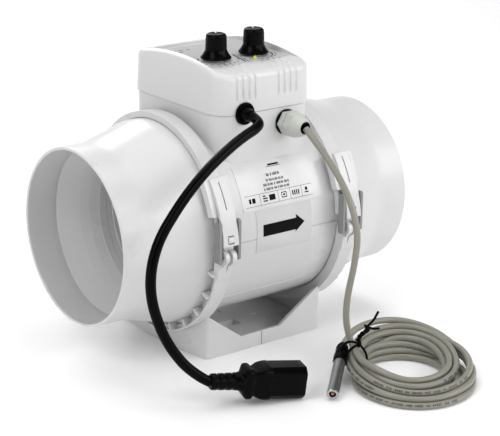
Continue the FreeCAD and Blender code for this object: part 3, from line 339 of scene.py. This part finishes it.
def slabs(name, outlines, place, lift, paint, body, slice_step=None):
    """Thin printed shapes: flat outlines (u, v), raised by lift and put in place by place(u, v, height)."""
    form = bmesh.new()
    for outline in outlines:
        corners = [form.verts.new((u, v, 0.0)) for u, v in outline]
        form.faces.new(corners)
    if slice_step:
        low = min(v.co.y for v in form.verts)
        high = max(v.co.y for v in form.verts)
        cut = math.floor(low / slice_step) * slice_step + slice_step
        while cut < high:
            geometry = form.verts[:] + form.edges[:] + form.faces[:]
            bmesh.ops.bisect_plane(form, geom=geometry, dist=1e-5, plane_co=(0.0, cut, 0.0),
                                   plane_no=(0.0, 1.0, 0.0))
            cut += slice_step
    bmesh.ops.triangulate(form, faces=form.faces[:])
    base = form.faces[:]
    grown = bmesh.ops.extrude_face_region(form, geom=base, use_keep_orig=True)
    for item in grown["geom"]:
        if isinstance(item, bmesh.types.BMVert):
            item.co.z = lift
    for vert in form.verts:
        vert.co = Vector(place(*vert.co)) * MM
    bmesh.ops.recalc_face_normals(form, faces=form.faces)
    mesh = bpy.data.meshes.new(name)
    form.to_mesh(mesh)
    form.free()
    return piece_from_mesh(name, mesh, paint, body)


def on_drum(x, degrees, height):
    """A point over the drum's front: along the duct, at an angle above the horizontal."""
    angle = math.radians(degrees)
    reach = LABEL_R + 0.02 + height
    return (x, -reach * math.cos(angle), AXIS_Z + reach * math.sin(angle))


def bar(u0, u1, v0, v1):
    """A flat rectangle."""
    return [(u0, v0), (u1, v0), (u1, v1), (u0, v1)]


def disc(u, v, radius, count=14):
    """A flat round."""
    return [(u + radius * math.cos(2 * math.pi * k / count), v + radius * math.sin(2 * math.pi * k / count))
            for k in range(count)]


def arc(u, v, radius, start, end, wide_start, wide_end, count=24):
    """A ring arc whose width changes from one end to the other, in strips."""
    strips = []
    for k in range(count):
        a, b = [math.radians(start + (end - start) * (k + step) / count) for step in (0, 1)]
        wa, wb = [wide_start + (wide_end - wide_start) * (k + step) / count for step in (0, 1)]
        strips.append([(u + r * math.cos(t), v + r * math.sin(t))
                       for r, t in ((radius - wa / 2, a), (radius + wa / 2, a),
                                    (radius + wb / 2, b), (radius - wb / 2, b))])
    return strips


def wire(name, lines, radius, paint, body, sides=3):
    """Round wires through given points, in millimetres, as one curve object."""
    curve = bpy.data.curves.new(name, "CURVE")
    curve.dimensions = "3D"
    for line in lines:
        spline = curve.splines.new("NURBS")
        spline.points.add(len(line) - 1)
        for knot, point in zip(spline.points, line):
            knot.co = (*(Vector(point) * MM), 1.0)
        spline.order_u = 3
        spline.use_endpoint_u = True
        spline.resolution_u = 6
    curve.bevel_depth = radius * MM
    curve.bevel_resolution = sides
    curve.use_fill_caps = True
    piece = bpy.data.objects.new(name, curve)
    SCENE.collection.objects.link(piece)
    curve.materials.append(paint)
    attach(piece, body)
    return piece


# ---------------------------------------------------------------- knobs and the printed panel

KNOB_PROFILE = [
    (3.05, 3.5), (5.8, 3.5), (7.8, 0.1), (10.3, 0.0), (10.55, 0.2), (10.55, 0.8), (10.35, 1.1), (9.75, 1.7),
    (9.1, 2.7), (8.5, 3.7), (7.95, 4.7), (7.6, 5.5), (7.42, 6.2), (7.38, 6.8), (7.34, 9.0), (7.28, 12.0),
    (7.15, 14.8), (7.0, 15.6), (6.7, 16.2), (6.2, 16.7), (5.6, 16.95), (5.0, 17.0), (4.4, 16.85), (3.0, 16.8),
    (0.02, 16.8), (0.02, 14.1), (3.05, 14.0),
]
FLUTES = 24


def knob_ripple(radius, along, angle):
    """Shallow flutes round the grip."""
    if radius < 7.0 or not 6.5 < along < 15.7:
        return radius
    return radius - 0.16 * abs(math.sin(FLUTES * angle / 2)) ** 3


def knobs():
    """The two fluted knobs, each with a short white bar on its top, a painted highlight."""
    for label, highlight_turn in (("speed", 62.0), ("thermostat", 66.0)):
        node = label + "_knob"
        body = label + "_control"
        low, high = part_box(node)
        x = (low.x + high.x) / 2 / MM
        y = (low.y + high.y) / 2 / MM
        z = low.z / MM
        piece = turned(node + "_fluted", KNOB_PROFILE, (x, y, z), (0, 0, 1), PAINTS["black_plastic"], body,
                       segments=192, ripple=knob_ripple)
        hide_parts(node)
        turn = math.radians(highlight_turn)

        def on_knob(u, v, height):
            return (x + u * math.cos(turn) - v * math.sin(turn), y + u * math.sin(turn) + v * math.cos(turn),
                    z + 16.84 + height)

        # A painted highlight: a short white bar on the knob's top where a small glint shows.
        slabs(node + "_painted_highlight", [bar(1.4, 5.9, -0.5, 0.5)], on_knob, 0.16, PAINTED_HIGHLIGHT_WHITE, body)


FILM_CORNERS = ((31.5, -30.5, 270), (31.5, 28.5, 0), (-31.5, 28.5, 90), (-31.5, -30.5, 180))
FILM_CORNER_R = 3.0
FILM_T = 0.06
FILM_TOP = 0.09             # the print starts this far over the panel
PANEL_PRINT_T = 0.05
SCALE_MARKS = 10
SCALE_R = (16.0, 14.4)      # half-axes of the ring of marks round each knob
DIVIDER_TOP = (2.6, -8.8)   # the two slanted lines between the knobs, from here along DIVIDER_RUN
DIVIDER_RUN = (-5.2, -21.5)
# Rows of grey dashes: y, and the x where each dash starts
DASH_ROWS = ((20.0, (-29, -22, -15, 3, 10, 17)), (15.5, (-29, -24, 3, 9)), (6.0, (-31.5,)), (3.6, (-31.5,)))


def panel_print():
    """The grey film on the control panel, with its scale marks, lines and dashes."""
    speed, thermostat = [(sum(c[0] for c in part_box(n)) / 2 / MM, sum(c[1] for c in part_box(n)) / 2 / MM)
                         for n in ("speed_knob", "thermostat_knob")]

    def under(x, y, height):
        return (x, y, PANEL_Z + 0.01 + height)

    film = []
    for cx, cy, start in FILM_CORNERS:
        turns = [math.radians(start + 15 * k) for k in range(7)]
        film += [(cx + FILM_CORNER_R * math.cos(turn), cy + FILM_CORNER_R * math.sin(turn)) for turn in turns]
    slabs("panel_film", [film], under, FILM_T, PANEL_GREY, "housing")

    def over(x, y, height):
        return (x, y, PANEL_Z + FILM_TOP + height)

    marks = []
    for x, y in (speed, thermostat):
        for k in range(SCALE_MARKS):
            angle = math.radians(195.0 + 16.0 * k)
            mark_x = x + SCALE_R[0] * math.cos(angle)
            mark_y = y + SCALE_R[1] * math.sin(angle)
            marks.append([(mark_x + 0.55 * u, mark_y + v) for u, v in disc(0.0, 0.0, 1.0)])
    marks += arc(*speed, 12.4, 130, 262, 0.8, 0.8)
    marks += arc(*thermostat, 13.2, 285, 395, 0.3, 2.2)
    slabs("panel_marks", marks, over, PANEL_PRINT_T, PRINT_BLACK, "housing")
    lines = []
    dx, dy = DIVIDER_RUN
    length = math.hypot(dx, dy)
    nx, ny = -dy / length, dx / length
    for shift, width in ((0.0, 1.2), (2.3, 0.5)):
        ax, ay = DIVIDER_TOP[0] + nx * shift, DIVIDER_TOP[1] + ny * shift
        lines.append([(ax - nx * width / 2, ay - ny * width / 2), (ax + nx * width / 2, ay + ny * width / 2),
                      (ax + dx + nx * width / 2, ay + dy + ny * width / 2),
                      (ax + dx - nx * width / 2, ay + dy - ny * width / 2)])
    slabs("panel_lines", lines, over, PANEL_PRINT_T, PRINT_BLACK, "housing")
    dashes = []
    for row, (y, starts) in enumerate(DASH_ROWS):
        for k, x in enumerate(starts):
            dashes.append(bar(x, x + 4.4 - (row + k) % 3, y, y + 1.3))
    slabs("panel_dashes", dashes, over, PANEL_PRINT_T, PRINT_GREY, "housing")


# ---------------------------------------------------------------- labels on the drum

# Rows of bars on the rating label: angle above the horizontal, x from, x to and half-height
TEXT_ROWS = [(32.9, -6.4, 4.9, 0.85), (29.9, -7.9, 7.4, 0.75), (27.5, -11.2, 11.5, 0.75),
             (25.1, -11.4, 11.5, 0.75)]
PRINT_LIFT = 0.03           # how thick the print on the labels is
PRINT_SLICE = 1.5           # print is cut into strips this many degrees high, to bend round the drum
WORD_LENGTHS = (2.6, 1.3, 3.4, 1.9, 2.2, 0.9, 2.9, 1.6)


RULE_ENDS = (-29.0, 29.3)    # the label's two long rules, with dividers between them at these places
DIVIDERS = (-16.4, -0.8, 9.7, 19.8)
BLOCKS = (                  # plain blocks in the label's boxes: x from, x to, angle from, angle to
    (-2.4, 7.0, 37.9, 38.9), (-26.0, -24.2, 18.9, 21.6), (-23.4, -20.6, 18.9, 21.6),
    (-14.0, -10.2, 18.6, 19.3), (-14.0, -10.2, 20.0, 20.7), (-14.0, -11.6, 21.3, 22.0),
    (-8.6, -3.4, 18.7, 21.9), (2.0, 6.6, 18.7, 19.2),
    (2.0, 2.5, 19.2, 21.4), (6.1, 6.6, 19.2, 21.4), (2.0, 6.6, 21.4, 21.9), (3.4, 5.2, 19.9, 20.8),
    (11.4, 12.4, 18.9, 21.6), (13.1, 14.1, 18.9, 21.6), (14.8, 15.8, 18.9, 21.6), (16.5, 17.5, 18.9, 21.6),
    (22.2, 25.6, 18.8, 19.5), (22.9, 24.9, 20.1, 21.9),
)
ARROW = [(-16.6, -0.6), (12.0, -0.6), (11.2, -2.1), (19.5, 3.1), (11.8, 8.2), (12.2, 6.1), (-16.6, 6.1)]
SEAM_LOW = -1.75            # the drum's moulding seam beside the labels: angles above the horizontal
SEAM_HIGH = -1.45


def label_print():
    """Rules, dividers and rows of short bars where the label's small print is, and the airflow arrow."""
    rules = [bar(*RULE_ENDS, 17.0, 17.22), bar(*RULE_ENDS, 23.18, 23.4)]
    for x in DIVIDERS:
        rules.append(bar(x - 0.14, x + 0.14, 17.3, 23.1))
    slabs("label_rules", rules, on_drum, PRINT_LIFT, PRINT_GREY, "housing",
          slice_step=PRINT_SLICE)
    words = []
    for row, (middle, start, end, half) in enumerate(TEXT_ROWS):
        x = start
        k = row * 3
        while x < end:
            stop = min(end, x + WORD_LENGTHS[k % len(WORD_LENGTHS)])
            for piece_x in np.arange(x, stop - 0.25, 0.62):
                high = half if (k + int(piece_x * 7)) % 3 else half * 0.75
                words.append(bar(piece_x, piece_x + 0.36, middle - half, middle + high))
            x = stop + 0.75
            k += 1
    words.append(bar(-4.0, 8.5, 37.2, 37.5))
    slabs("label_rows", words, on_drum, PRINT_LIFT, PRINT_BLACK, "housing",
          slice_step=PRINT_SLICE)
    slabs("label_blocks", [bar(*block) for block in BLOCKS], on_drum, PRINT_LIFT, PRINT_BLACK, "housing",
          slice_step=PRINT_SLICE)
    slabs("airflow_arrow", [ARROW], on_drum, 0.05, PRINT_BLACK, "housing", slice_step=1.0)

    def on_bare_drum(x, degrees, height):
        angle = math.radians(degrees)
        reach = DRUM_R - 0.03 + height
        return (x, -reach * math.cos(angle), AXIS_Z + reach * math.sin(angle))

    seam = [bar(-46.6, -22.2, SEAM_LOW, SEAM_HIGH), bar(26.2, 46.6, SEAM_LOW, SEAM_HIGH)]
    slabs("drum_seam", seam, on_bare_drum, 0.09, PAINTS["white_plastic"], "housing")


# ---------------------------------------------------------------- grommet, plug, probe and tie

def grommet():
    """The moulded strain relief that the power cord comes out of."""
    profile = [(0.02, 0.0), (7.2, 0.0), (7.7, 0.35), (7.8, 0.9), (7.6, 1.6), (7.1, 1.95), (6.5, 1.95),
               (6.0, 1.5), (5.5, 1.3), (5.1, 1.6), (4.95, 2.4), (4.6, 4.2), (4.25, 6.0), (3.95, 7.6),
               (3.75, 8.2), (0.02, 8.25)]
    root = (CORD_ROUTE[0][0], BOX_FRONT_Y, GROMMET_Z)
    piece = turned("cord_grommet_moulded", profile, root, (0.0, -1.0, 0.0), PAINTS["black_rubber"], "housing",
                   segments=72)
    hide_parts("cord_grommet")


def plug_ring(x, half_w, half_h, corners):
    """A ring of the plug's section, with (size, bulge) for its front low, back low, back high, front high."""
    ring = []
    signs = ((-1, -1), (1, -1), (1, 1), (-1, 1))
    for (sy, sz), (size, bulge) in zip(signs, corners):
        size = min(size, half_w - 0.01, half_h - 0.01)
        cy = sy * (half_w - size)
        cz = sz * (half_h - size)
        first = {(-1, -1): 180, (1, -1): 270, (1, 1): 0, (-1, 1): 90}[(sy, sz)]
        start = Vector((math.cos(math.radians(first)), math.sin(math.radians(first))))
        end = Vector((math.cos(math.radians(first + 90)), math.sin(math.radians(first + 90))))
        for k in range(10):
            part = k / 9
            angle = math.radians(first + 90 * part)
            round_point = Vector((math.cos(angle), math.sin(angle)))
            flat_point = start.lerp(end, part)
            at = flat_point.lerp(round_point, bulge)
            ring.append((x, cy + size * at.x, cz + size * at.y))
    return ring


def plug():
    """The cord's plug: a ribbed strain relief, a finger flange, the grip and the open nose."""
    end = Vector(CORD_ROUTE[-1])
    direction = (PLUG_NOSE - end).normalized()
    length = (PLUG_NOSE - end).length
    side = direction.cross(Vector((0, 0, 1))).normalized()
    upright = side.cross(direction)
    back = upright.cross(direction)

    def even(x, half_w, half_h, size):
        return plug_ring(x, half_w, half_h, [(size, 1.0)] * 4)

    rings = [even(0.0, 3.6, 3.6, 3.5), even(0.1, 4.6, 4.6, 4.5), even(0.7, 5.2, 5.2, 5.1),
             even(1.6, 5.4, 5.4, 5.3)]
    for k in range(3):
        x = 4.2 + 5.0 * k
        wide = 5.45 + 0.12 * k
        slot = wide - 1.9
        rings += [even(x - 0.35, wide, wide, wide - 0.1), even(x - 0.05, wide, wide - 0.25, wide - 0.3),
                  even(x, wide - 0.02, slot + 0.3, slot), even(x + 0.2, wide - 0.05, slot, slot - 0.1),
                  even(x + 1.2, wide - 0.05, slot, slot - 0.1), even(x + 1.4, wide, slot + 0.3, slot),
                  even(x + 1.45, wide, wide - 0.2, wide - 0.3),
                  even(x + 1.75, wide + 0.05, wide + 0.05, wide)]
    rings += [even(18.6, 5.9, 5.9, 5.6), even(20.2, 6.2, 6.3, 5.4), even(21.2, 6.7, 7.0, 5.0),
              even(22.0, 7.6, 8.4, 4.6), even(22.6, 8.3, 9.5, 4.2), even(23.3, 8.7, 10.1, 3.8),
              even(24.2, 8.8, 10.3, 3.6), even(26.2, 8.8, 10.3, 3.6), even(26.9, 8.6, 10.0, 3.6),
              even(27.5, 8.1, 9.3, 3.6), even(28.2, 7.7, 8.8, 3.4), even(29.2, 7.6, 8.8, 3.0),
              even(30.4, 7.8, 9.3, 2.6)]
    for x, half_w, half_h, front, bulge in ((32.0, 8.2, 10.0, 2.6, 0.95), (34.2, 8.5, 10.7, 3.0, 0.85),
                                            (36.8, 8.75, 11.2, 3.4, 0.75), (38.4, 8.85, 11.3, 3.6, 0.65)):
        rings.append(plug_ring(x, half_w, half_h, [(front, bulge), (1.8, 1.0), (1.8, 1.0), (front, bulge)]))
    chamfer = [(3.6, 0.12), (0.9, 1.0), (0.9, 1.0), (3.6, 0.12)]
    soft = [(3.7, 0.55), (1.4, 1.0), (1.4, 1.0), (3.7, 0.55)]
    nose_start = length - 24.0
    rings += [plug_ring(nose_start - 0.5, 8.85, 11.3, soft), plug_ring(nose_start - 0.15, 8.6, 11.15, soft),
              plug_ring(nose_start, 8.25, 11.0, chamfer), plug_ring(nose_start + 0.3, 8.2, 11.0, chamfer),
              plug_ring(length - 12.0, 8.2, 11.0, chamfer), plug_ring(length - 0.5, 8.2, 11.0, chamfer),
              plug_ring(length - 0.15, 8.05, 10.85, chamfer), plug_ring(length, 7.8, 10.6, chamfer)]
    inner = [(3.0, 0.12), (0.6, 1.0), (0.6, 1.0), (3.0, 0.12)]
    rings += [plug_ring(length, 6.8, 9.5, inner), plug_ring(length - 0.3, 6.5, 9.2, inner),
              plug_ring(length - 0.8, 6.4, 9.1, inner), plug_ring(length - 15.9, 6.4, 9.1, inner)]
    rings = [[end + direction * x + back * y + upright * z for x, y, z in ring] for ring in rings]
    body = loft("plug_moulded", rings, PAINTS["black_plastic"], "housing", smooth=28.0)
    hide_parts("plug_body")
    frame_line = [(31.5, 3.0), (37.6, 3.4), (37.6, 7.6), (33.0, 7.2)]
    lines = []
    for (xa, za), (xb, zb) in zip(frame_line, frame_line[1:] + frame_line[:1]):
        def out(x):
            return 7.75 + (x - 30.6) * 0.14
        lines.append([end + direction * (xa + (xb - xa) * t) + upright * (za + (zb - za) * t)
                      - back * (out(xa + (xb - xa) * t) - 0.12) for t in (0.0, 0.33, 0.67, 1.0)])
    ridge = wire("plug_panel_ridge", lines, 0.28, PAINTS["black_plastic"], "housing")
    return [body, ridge]


def probe_sleeve():
    """Heat-shrink tube over the end of the probe, slightly folded where it goes over the cable."""
    direction = (PROBE_ROOT - PROBE_TIP).normalized()
    start = PROBE_TIP + direction * (PROBE_STEEL - 1.5)
    side = direction.cross(Vector((0, 0, 1))).normalized()
    upright = side.cross(direction)
    rings = []
    sections = [(0.0, 4.3, 0.0), (0.1, 4.65, 0.0), (0.8, 4.75, 0.0), (3.0, 4.7, 0.02), (5.0, 4.6, 0.05),
                (7.0, 4.7, 0.03), (9.0, 4.45, 0.09), (11.0, 4.5, 0.05), (13.0, 4.25, 0.11), (15.0, 4.2, 0.08),
                (16.6, 4.0, 0.06), (18.0, 3.8, 0.04), (19.2, 3.5, 0.02), (20.0, 3.0, 0.0), (20.4, 2.3, 0.0)]
    for index, (along, radius, fold) in enumerate(sections):
        ring = []
        for k in range(40):
            angle = 2 * math.pi * k / 40
            ripple = 1.0 + fold * math.sin(3 * angle + index * 1.3) + fold * 0.5 * math.sin(7 * angle + index)
            ring.append(start + direction * along + side * math.cos(angle) * radius * ripple
                        + upright * math.sin(angle) * radius * ripple)
        rings.append(ring)
    piece = loft("probe_sleeve_shrunk", rings, PAINTS["black_rubber"], "housing", smooth=50.0)
    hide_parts("probe_sleeve")
    return piece


def probe_end():
    """The steel tube with its thick rim, and inside it the dark filling round a copper core."""
    direction = (PROBE_ROOT - PROBE_TIP).normalized()
    wall = [(2.25, 0.25), (2.5, 0.0), (3.75, 0.0), (4.1, 0.35), (4.1, PROBE_STEEL), (2.25, PROBE_STEEL)]
    tube = turned("probe_tube_steel", wall, PROBE_TIP, direction, PAINTS["steel"], "housing")
    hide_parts("probe_tube")
    filling = turned("probe_filling", [(1.15, 1.4), (1.7, 1.0), (2.24, 0.9), (2.24, 9.0), (1.15, 9.0)],
                     PROBE_TIP, direction, PAINTS["black_rubber"], "housing", segments=32)
    core = turned("probe_core", [(0.02, 0.5), (0.8, 0.55), (1.1, 0.9), (1.14, 8.8), (0.02, 8.8)],
                  PROBE_TIP, direction, PAINTS["copper"], "housing", segments=32)
    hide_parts("probe_element")
    return [tube, filling, core]


def twisted(path, radius, turns, phase):
    """One strand of a twisted pair along a path of points."""
    strand = []
    steps = 24
    for k in range(steps + 1):
        t = k / steps * (len(path) - 1)
        i = min(int(t), len(path) - 2)
        here = Vector(path[i]).lerp(Vector(path[i + 1]), t - i)
        run = (Vector(path[i + 1]) - Vector(path[i])).normalized()
        side = run.cross(Vector((0.3, 1.0, 0.1))).normalized()
        other = run.cross(side)
        angle = phase + turns * 2 * math.pi * k / steps
        strand.append(here + (side * math.cos(angle) + other * math.sin(angle)) * radius)
    return strand


def twist_tie():
    """A black wire tie: a loop over the sleeve and the bundle, twisted, with two free ends."""
    knot = Vector((17.4, -134.2, 22.2))
    twist_path = [(17.6, -134.2, 21.6), (15.4, -134.2, 25.6), (16.6, -135.0, 29.6), (20.2, -136.6, 32.4),
                  (21.4, -137.0, 35.4)]
    lines = [twisted(twist_path, 0.95, 3.2, 0.0), twisted(twist_path, 0.95, 3.2, math.pi)]
    lines.append([(20.4, -136.7, 34.0), (21.4, -137.2, 36.4), (23.4, -138.4, 38.6), (24.9, -139.8, 41.6),
                  (25.2, -140.6, 44.0), (26.4, -141.4, 46.6)])
    lines.append([(20.4, -136.8, 34.6), (22.6, -137.6, 34.9), (24.8, -138.8, 33.2), (28.4, -141.0, 34.0)])
    lines.append([(18.6, -136.0, 31.0), (20.8, -136.8, 31.4), (22.4, -137.6, 33.6), (20.8, -136.8, 36.2),
                  (18.9, -136.2, 36.6)])
    lines.append([knot + Vector((0.4, 0.2, 0.2)), (15.4, -131.4, 23.8), (13.0, -128.8, 24.0),
                  (10.4, -126.6, 22.6), (7.6, -126.4, 19.2), (6.4, -127.4, 14.6)])
    lines.append([knot, (14.8, -133.2, 22.4), (12.0, -132.4, 20.6), (9.4, -131.8, 18.4), (7.0, -131.2, 14.4)])
    lines.append([knot, (19.2, -135.0, 20.2), (21.0, -136.4, 16.4), (21.8, -137.4, 11.6),
                  (20.6, -138.0, 7.6)])
    piece = wire("wire_tie", lines, 0.85, PAINTS["black_plastic"], "housing")
    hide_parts("twist_tie")
    return piece


# ---------------------------------------------------------------- cords

def cord_curve(name, points, diameter, paint):
    """A round cord whose line is the NURBS curve of its route's points."""
    curve = bpy.data.curves.new(name, "CURVE")
    curve.dimensions = "3D"
    spline = curve.splines.new("NURBS")
    spline.points.add(len(points) - 1)
    for knot, point in zip(spline.points, points):
        knot.co = (*point, 1.0)
    spline.order_u = 3
    spline.use_endpoint_u = True
    spline.resolution_u = 8
    curve.bevel_depth = diameter / 2
    curve.bevel_resolution = 7
    curve.use_fill_caps = True
    piece = bpy.data.objects.new(name, curve)
    SCENE.collection.objects.link(piece)
    curve.materials.append(paint)
    return piece


def metres(route):
    """A route in millimetres as points in metres."""
    return [Vector(p) * MM for p in route]


TURNS = 9
PER_TURN = 48
# Distance from the coil's middle and height of each turn, first turn first, in millimetres
AT_TIE = [(35.4, 18.0), (33.1, 14.4), (37.6, 14.2), (40.0, 10.2), (35.5, 10.3), (31.0, 10.4), (37.8, 6.3),
          (33.3, 6.3), (35.6, 2.3)]
AT_FRONT = [(31.6, 11.9), (36.4, 9.5), (41.1, 7.1), (45.9, 4.7), (37.1, 5.1), (32.4, 7.4), (41.9, 2.6),
            (33.0, 2.6), (50.7, 2.3)]
AT_RIGHT = [(27.8, 12.6), (32.6, 11.6), (41.9, 11.4), (44.2, 7.4), (30.2, 7.3), (25.2, 8.6), (39.3, 3.2),
            (27.2, 3.2), (44.2, 2.4)]
AT_BACK = [(43.4, 16.0), (46.8, 19.0), (47.9, 14.4), (44.6, 11.0), (37.2, 9.4), (40.2, 12.8), (34.2, 5.9),
           (31.6, 2.3), (50.5, 21.5)]


def coil_point(turns):
    """Where the cable is after so many turns, in the oval's own axes."""
    tables = (AT_TIE, AT_FRONT, AT_RIGHT, AT_BACK)
    middles = (COIL_WIDE, COIL_LONG, COIL_WIDE, COIL_LONG)
    quarter = int(turns * 4)
    part = turns * 4 - quarter

    def station(number):
        number = min(max(number, 0), TURNS * 4 - 1)
        reach, height = tables[number % 4][number // 4]
        return np.array([reach - middles[number % 4], height])

    a, b, c, d = [station(quarter + k) for k in (-1, 0, 1, 2)]
    out, height = 0.5 * (2 * b + (c - a) * part + (2 * a - 5 * b + 4 * c - d) * part ** 2
                         + (3 * b - a - 3 * c + d) * part ** 3)
    angle = 2 * math.pi * turns
    return [-(COIL_LONG + out) * math.sin(angle), (COIL_WIDE + out) * math.cos(angle), height]


def settle(line, gap, steps=150):
    """Moves strands apart until they lie beside each other, and keeps the cable smooth and on the floor."""
    start = line.copy()
    number = np.arange(len(line))
    other_turn = np.abs(number[:, None] - number[None, :]) > PER_TURN // 3
    for _ in range(steps):
        apart = line[:, None, :] - line[None, :, :]
        distance = np.linalg.norm(apart, axis=2)
        close = other_turn & (distance < gap)
        push = np.where(close, (gap - distance) / 2 / np.maximum(distance, 1e-6), 0.0)[:, :, None] * apart
        line = line + push.sum(1) / np.maximum(close.sum(1), 1)[:, None]
        bend = np.zeros_like(line)
        bend[2:-2] = -line[:-4] + 4 * line[1:-3] - 6 * line[2:-2] + 4 * line[3:-1] - line[4:]
        line += 0.06 * bend + 0.02 * (start - line)
        line[:, 2] = np.maximum(line[:, 2], CABLE_D / MM / 2)
    return line


def coil_route():
    """The coil's turns, from where the cable comes down to where it goes into the probe's sleeve."""
    rough = np.array([coil_point(i / PER_TURN) for i in range(TURNS * PER_TURN - 3)])
    line = settle(rough, CABLE_D / MM * 1.03)[::2]
    along = Vector((math.cos(COIL_TURN), math.sin(COIL_TURN), 0.0))
    across = Vector((-math.sin(COIL_TURN), math.cos(COIL_TURN), 0.0))
    up = Vector((0.0, 0.0, 1.0))
    return [COIL_CENTRE + (along * u + across * v + up * z) * MM for u, v, z in line.tolist()]


def centre_line(cord):
    """The points along a cord's own spline, in millimetres, with their distances from its start."""
    bare = cord.copy()
    bare.data = cord.data.copy()
    bare.data.bevel_depth = 0.0
    bare.data.use_fill_caps = False
    SCENE.collection.objects.link(bare)
    bpy.context.view_layer.update()
    mesh = bpy.data.meshes.new_from_object(bare.evaluated_get(bpy.context.evaluated_depsgraph_get()))
    points = np.array([tuple(v.co / MM) for v in mesh.vertices])
    data = bare.data
    bpy.data.objects.remove(bare)
    bpy.data.curves.remove(data)
    bpy.data.meshes.remove(mesh)
    steps = np.linalg.norm(np.diff(points, axis=0), axis=1)
    return points, np.concatenate([[0.0], np.cumsum(steps)])


def jacket_print(cord):
    """Rows of short bars along the cable's jacket, where its small print is."""
    points, along = centre_line(cord)
    radius = CABLE_D / MM / 2
    middle = np.array(COIL_CENTRE / MM)

    def at(distance, degrees, reach):
        i = min(max(int(np.searchsorted(along, distance)) - 1, 0), len(points) - 2)
        part = (distance - along[i]) / max(along[i + 1] - along[i], 1e-6)
        here = points[i] + (points[i + 1] - points[i]) * part
        run = Vector(points[i + 1] - points[i]).normalized()
        outward = Vector((here[0] - middle[0], here[1] - middle[1], 0.0)).normalized()
        face = outward + Vector((0.0, 0.0, 0.55))
        face = (face - run * face.dot(run)).normalized()
        other = run.cross(face)
        angle = math.radians(degrees)
        return Vector(here) + (face * math.cos(angle) + other * math.sin(angle)) * reach

    form = bmesh.new()
    start = 265.0
    row = 0
    while start + 80.0 < along[-1]:
        x = start
        k = row * 5
        while x < start + 72.0:
            stop = x + 1.9 * WORD_LENGTHS[k % len(WORD_LENGTHS)]
            while x < stop:
                tall = 20.0 if (k + int(x * 3)) % 3 else 13.0
                grid = [[form.verts.new(at(x + shift, tall * side, reach) * MM)
                         for side in (-1.0, -0.33, 0.33, 1.0)]
                        for reach in (radius - 0.12, radius + 0.04) for shift in (0.0, 0.75)]
                low_a, low_b, high_a, high_b = grid
                for i in range(3):
                    form.faces.new((high_a[i], high_a[i + 1], high_b[i + 1], high_b[i]))
                    form.faces.new((low_a[i], low_b[i], low_b[i + 1], low_a[i + 1]))
                    form.faces.new((low_a[i], low_a[i + 1], high_a[i + 1], high_a[i]))
                    form.faces.new((low_b[i], high_b[i], high_b[i + 1], low_b[i + 1]))
                form.faces.new((low_a[0], high_a[0], high_b[0], low_b[0]))
                form.faces.new((low_a[3], low_b[3], high_b[3], high_a[3]))
                x += 1.25
            x += 1.8
            k += 1
        start += 197.0
        row += 1
    bmesh.ops.recalc_face_normals(form, faces=form.faces)
    mesh = bpy.data.meshes.new("jacket_print")
    form.to_mesh(mesh)
    form.free()
    piece_from_mesh("jacket_print", mesh, PRINT_GREY, "housing")


def cords():
    """The power cord with its plug, and the sensor cable with its coil, tie and probe."""
    power = cord_curve("power_lead", metres(CORD_ROUTE), CORD_D, PAINTS["black_rubber"])
    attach(power, "housing")
    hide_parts("power_cord")
    plug() + ["plug_pins"]
    sleeve_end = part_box("probe_sleeve")[1]
    tail = [Vector((sleeve_end.x - 1.0 * MM, sleeve_end.y - 1.5 * MM, sleeve_end.z - 4.0 * MM))]
    route = metres(CABLE_ROUTE) + coil_route() + tail
    cable = cord_curve("sensor_lead", route, CABLE_D, PAINTS["cable_jacket"])
    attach(cable, "housing")
    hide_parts("sensor_cable", "sensor_coil")
    [probe_sleeve(), twist_tie()] + probe_end()
    jacket_print(cable)


camera()
studio()
paint_cad_nodes()
cords()
grommet()
knobs()
panel_print()
label_print()
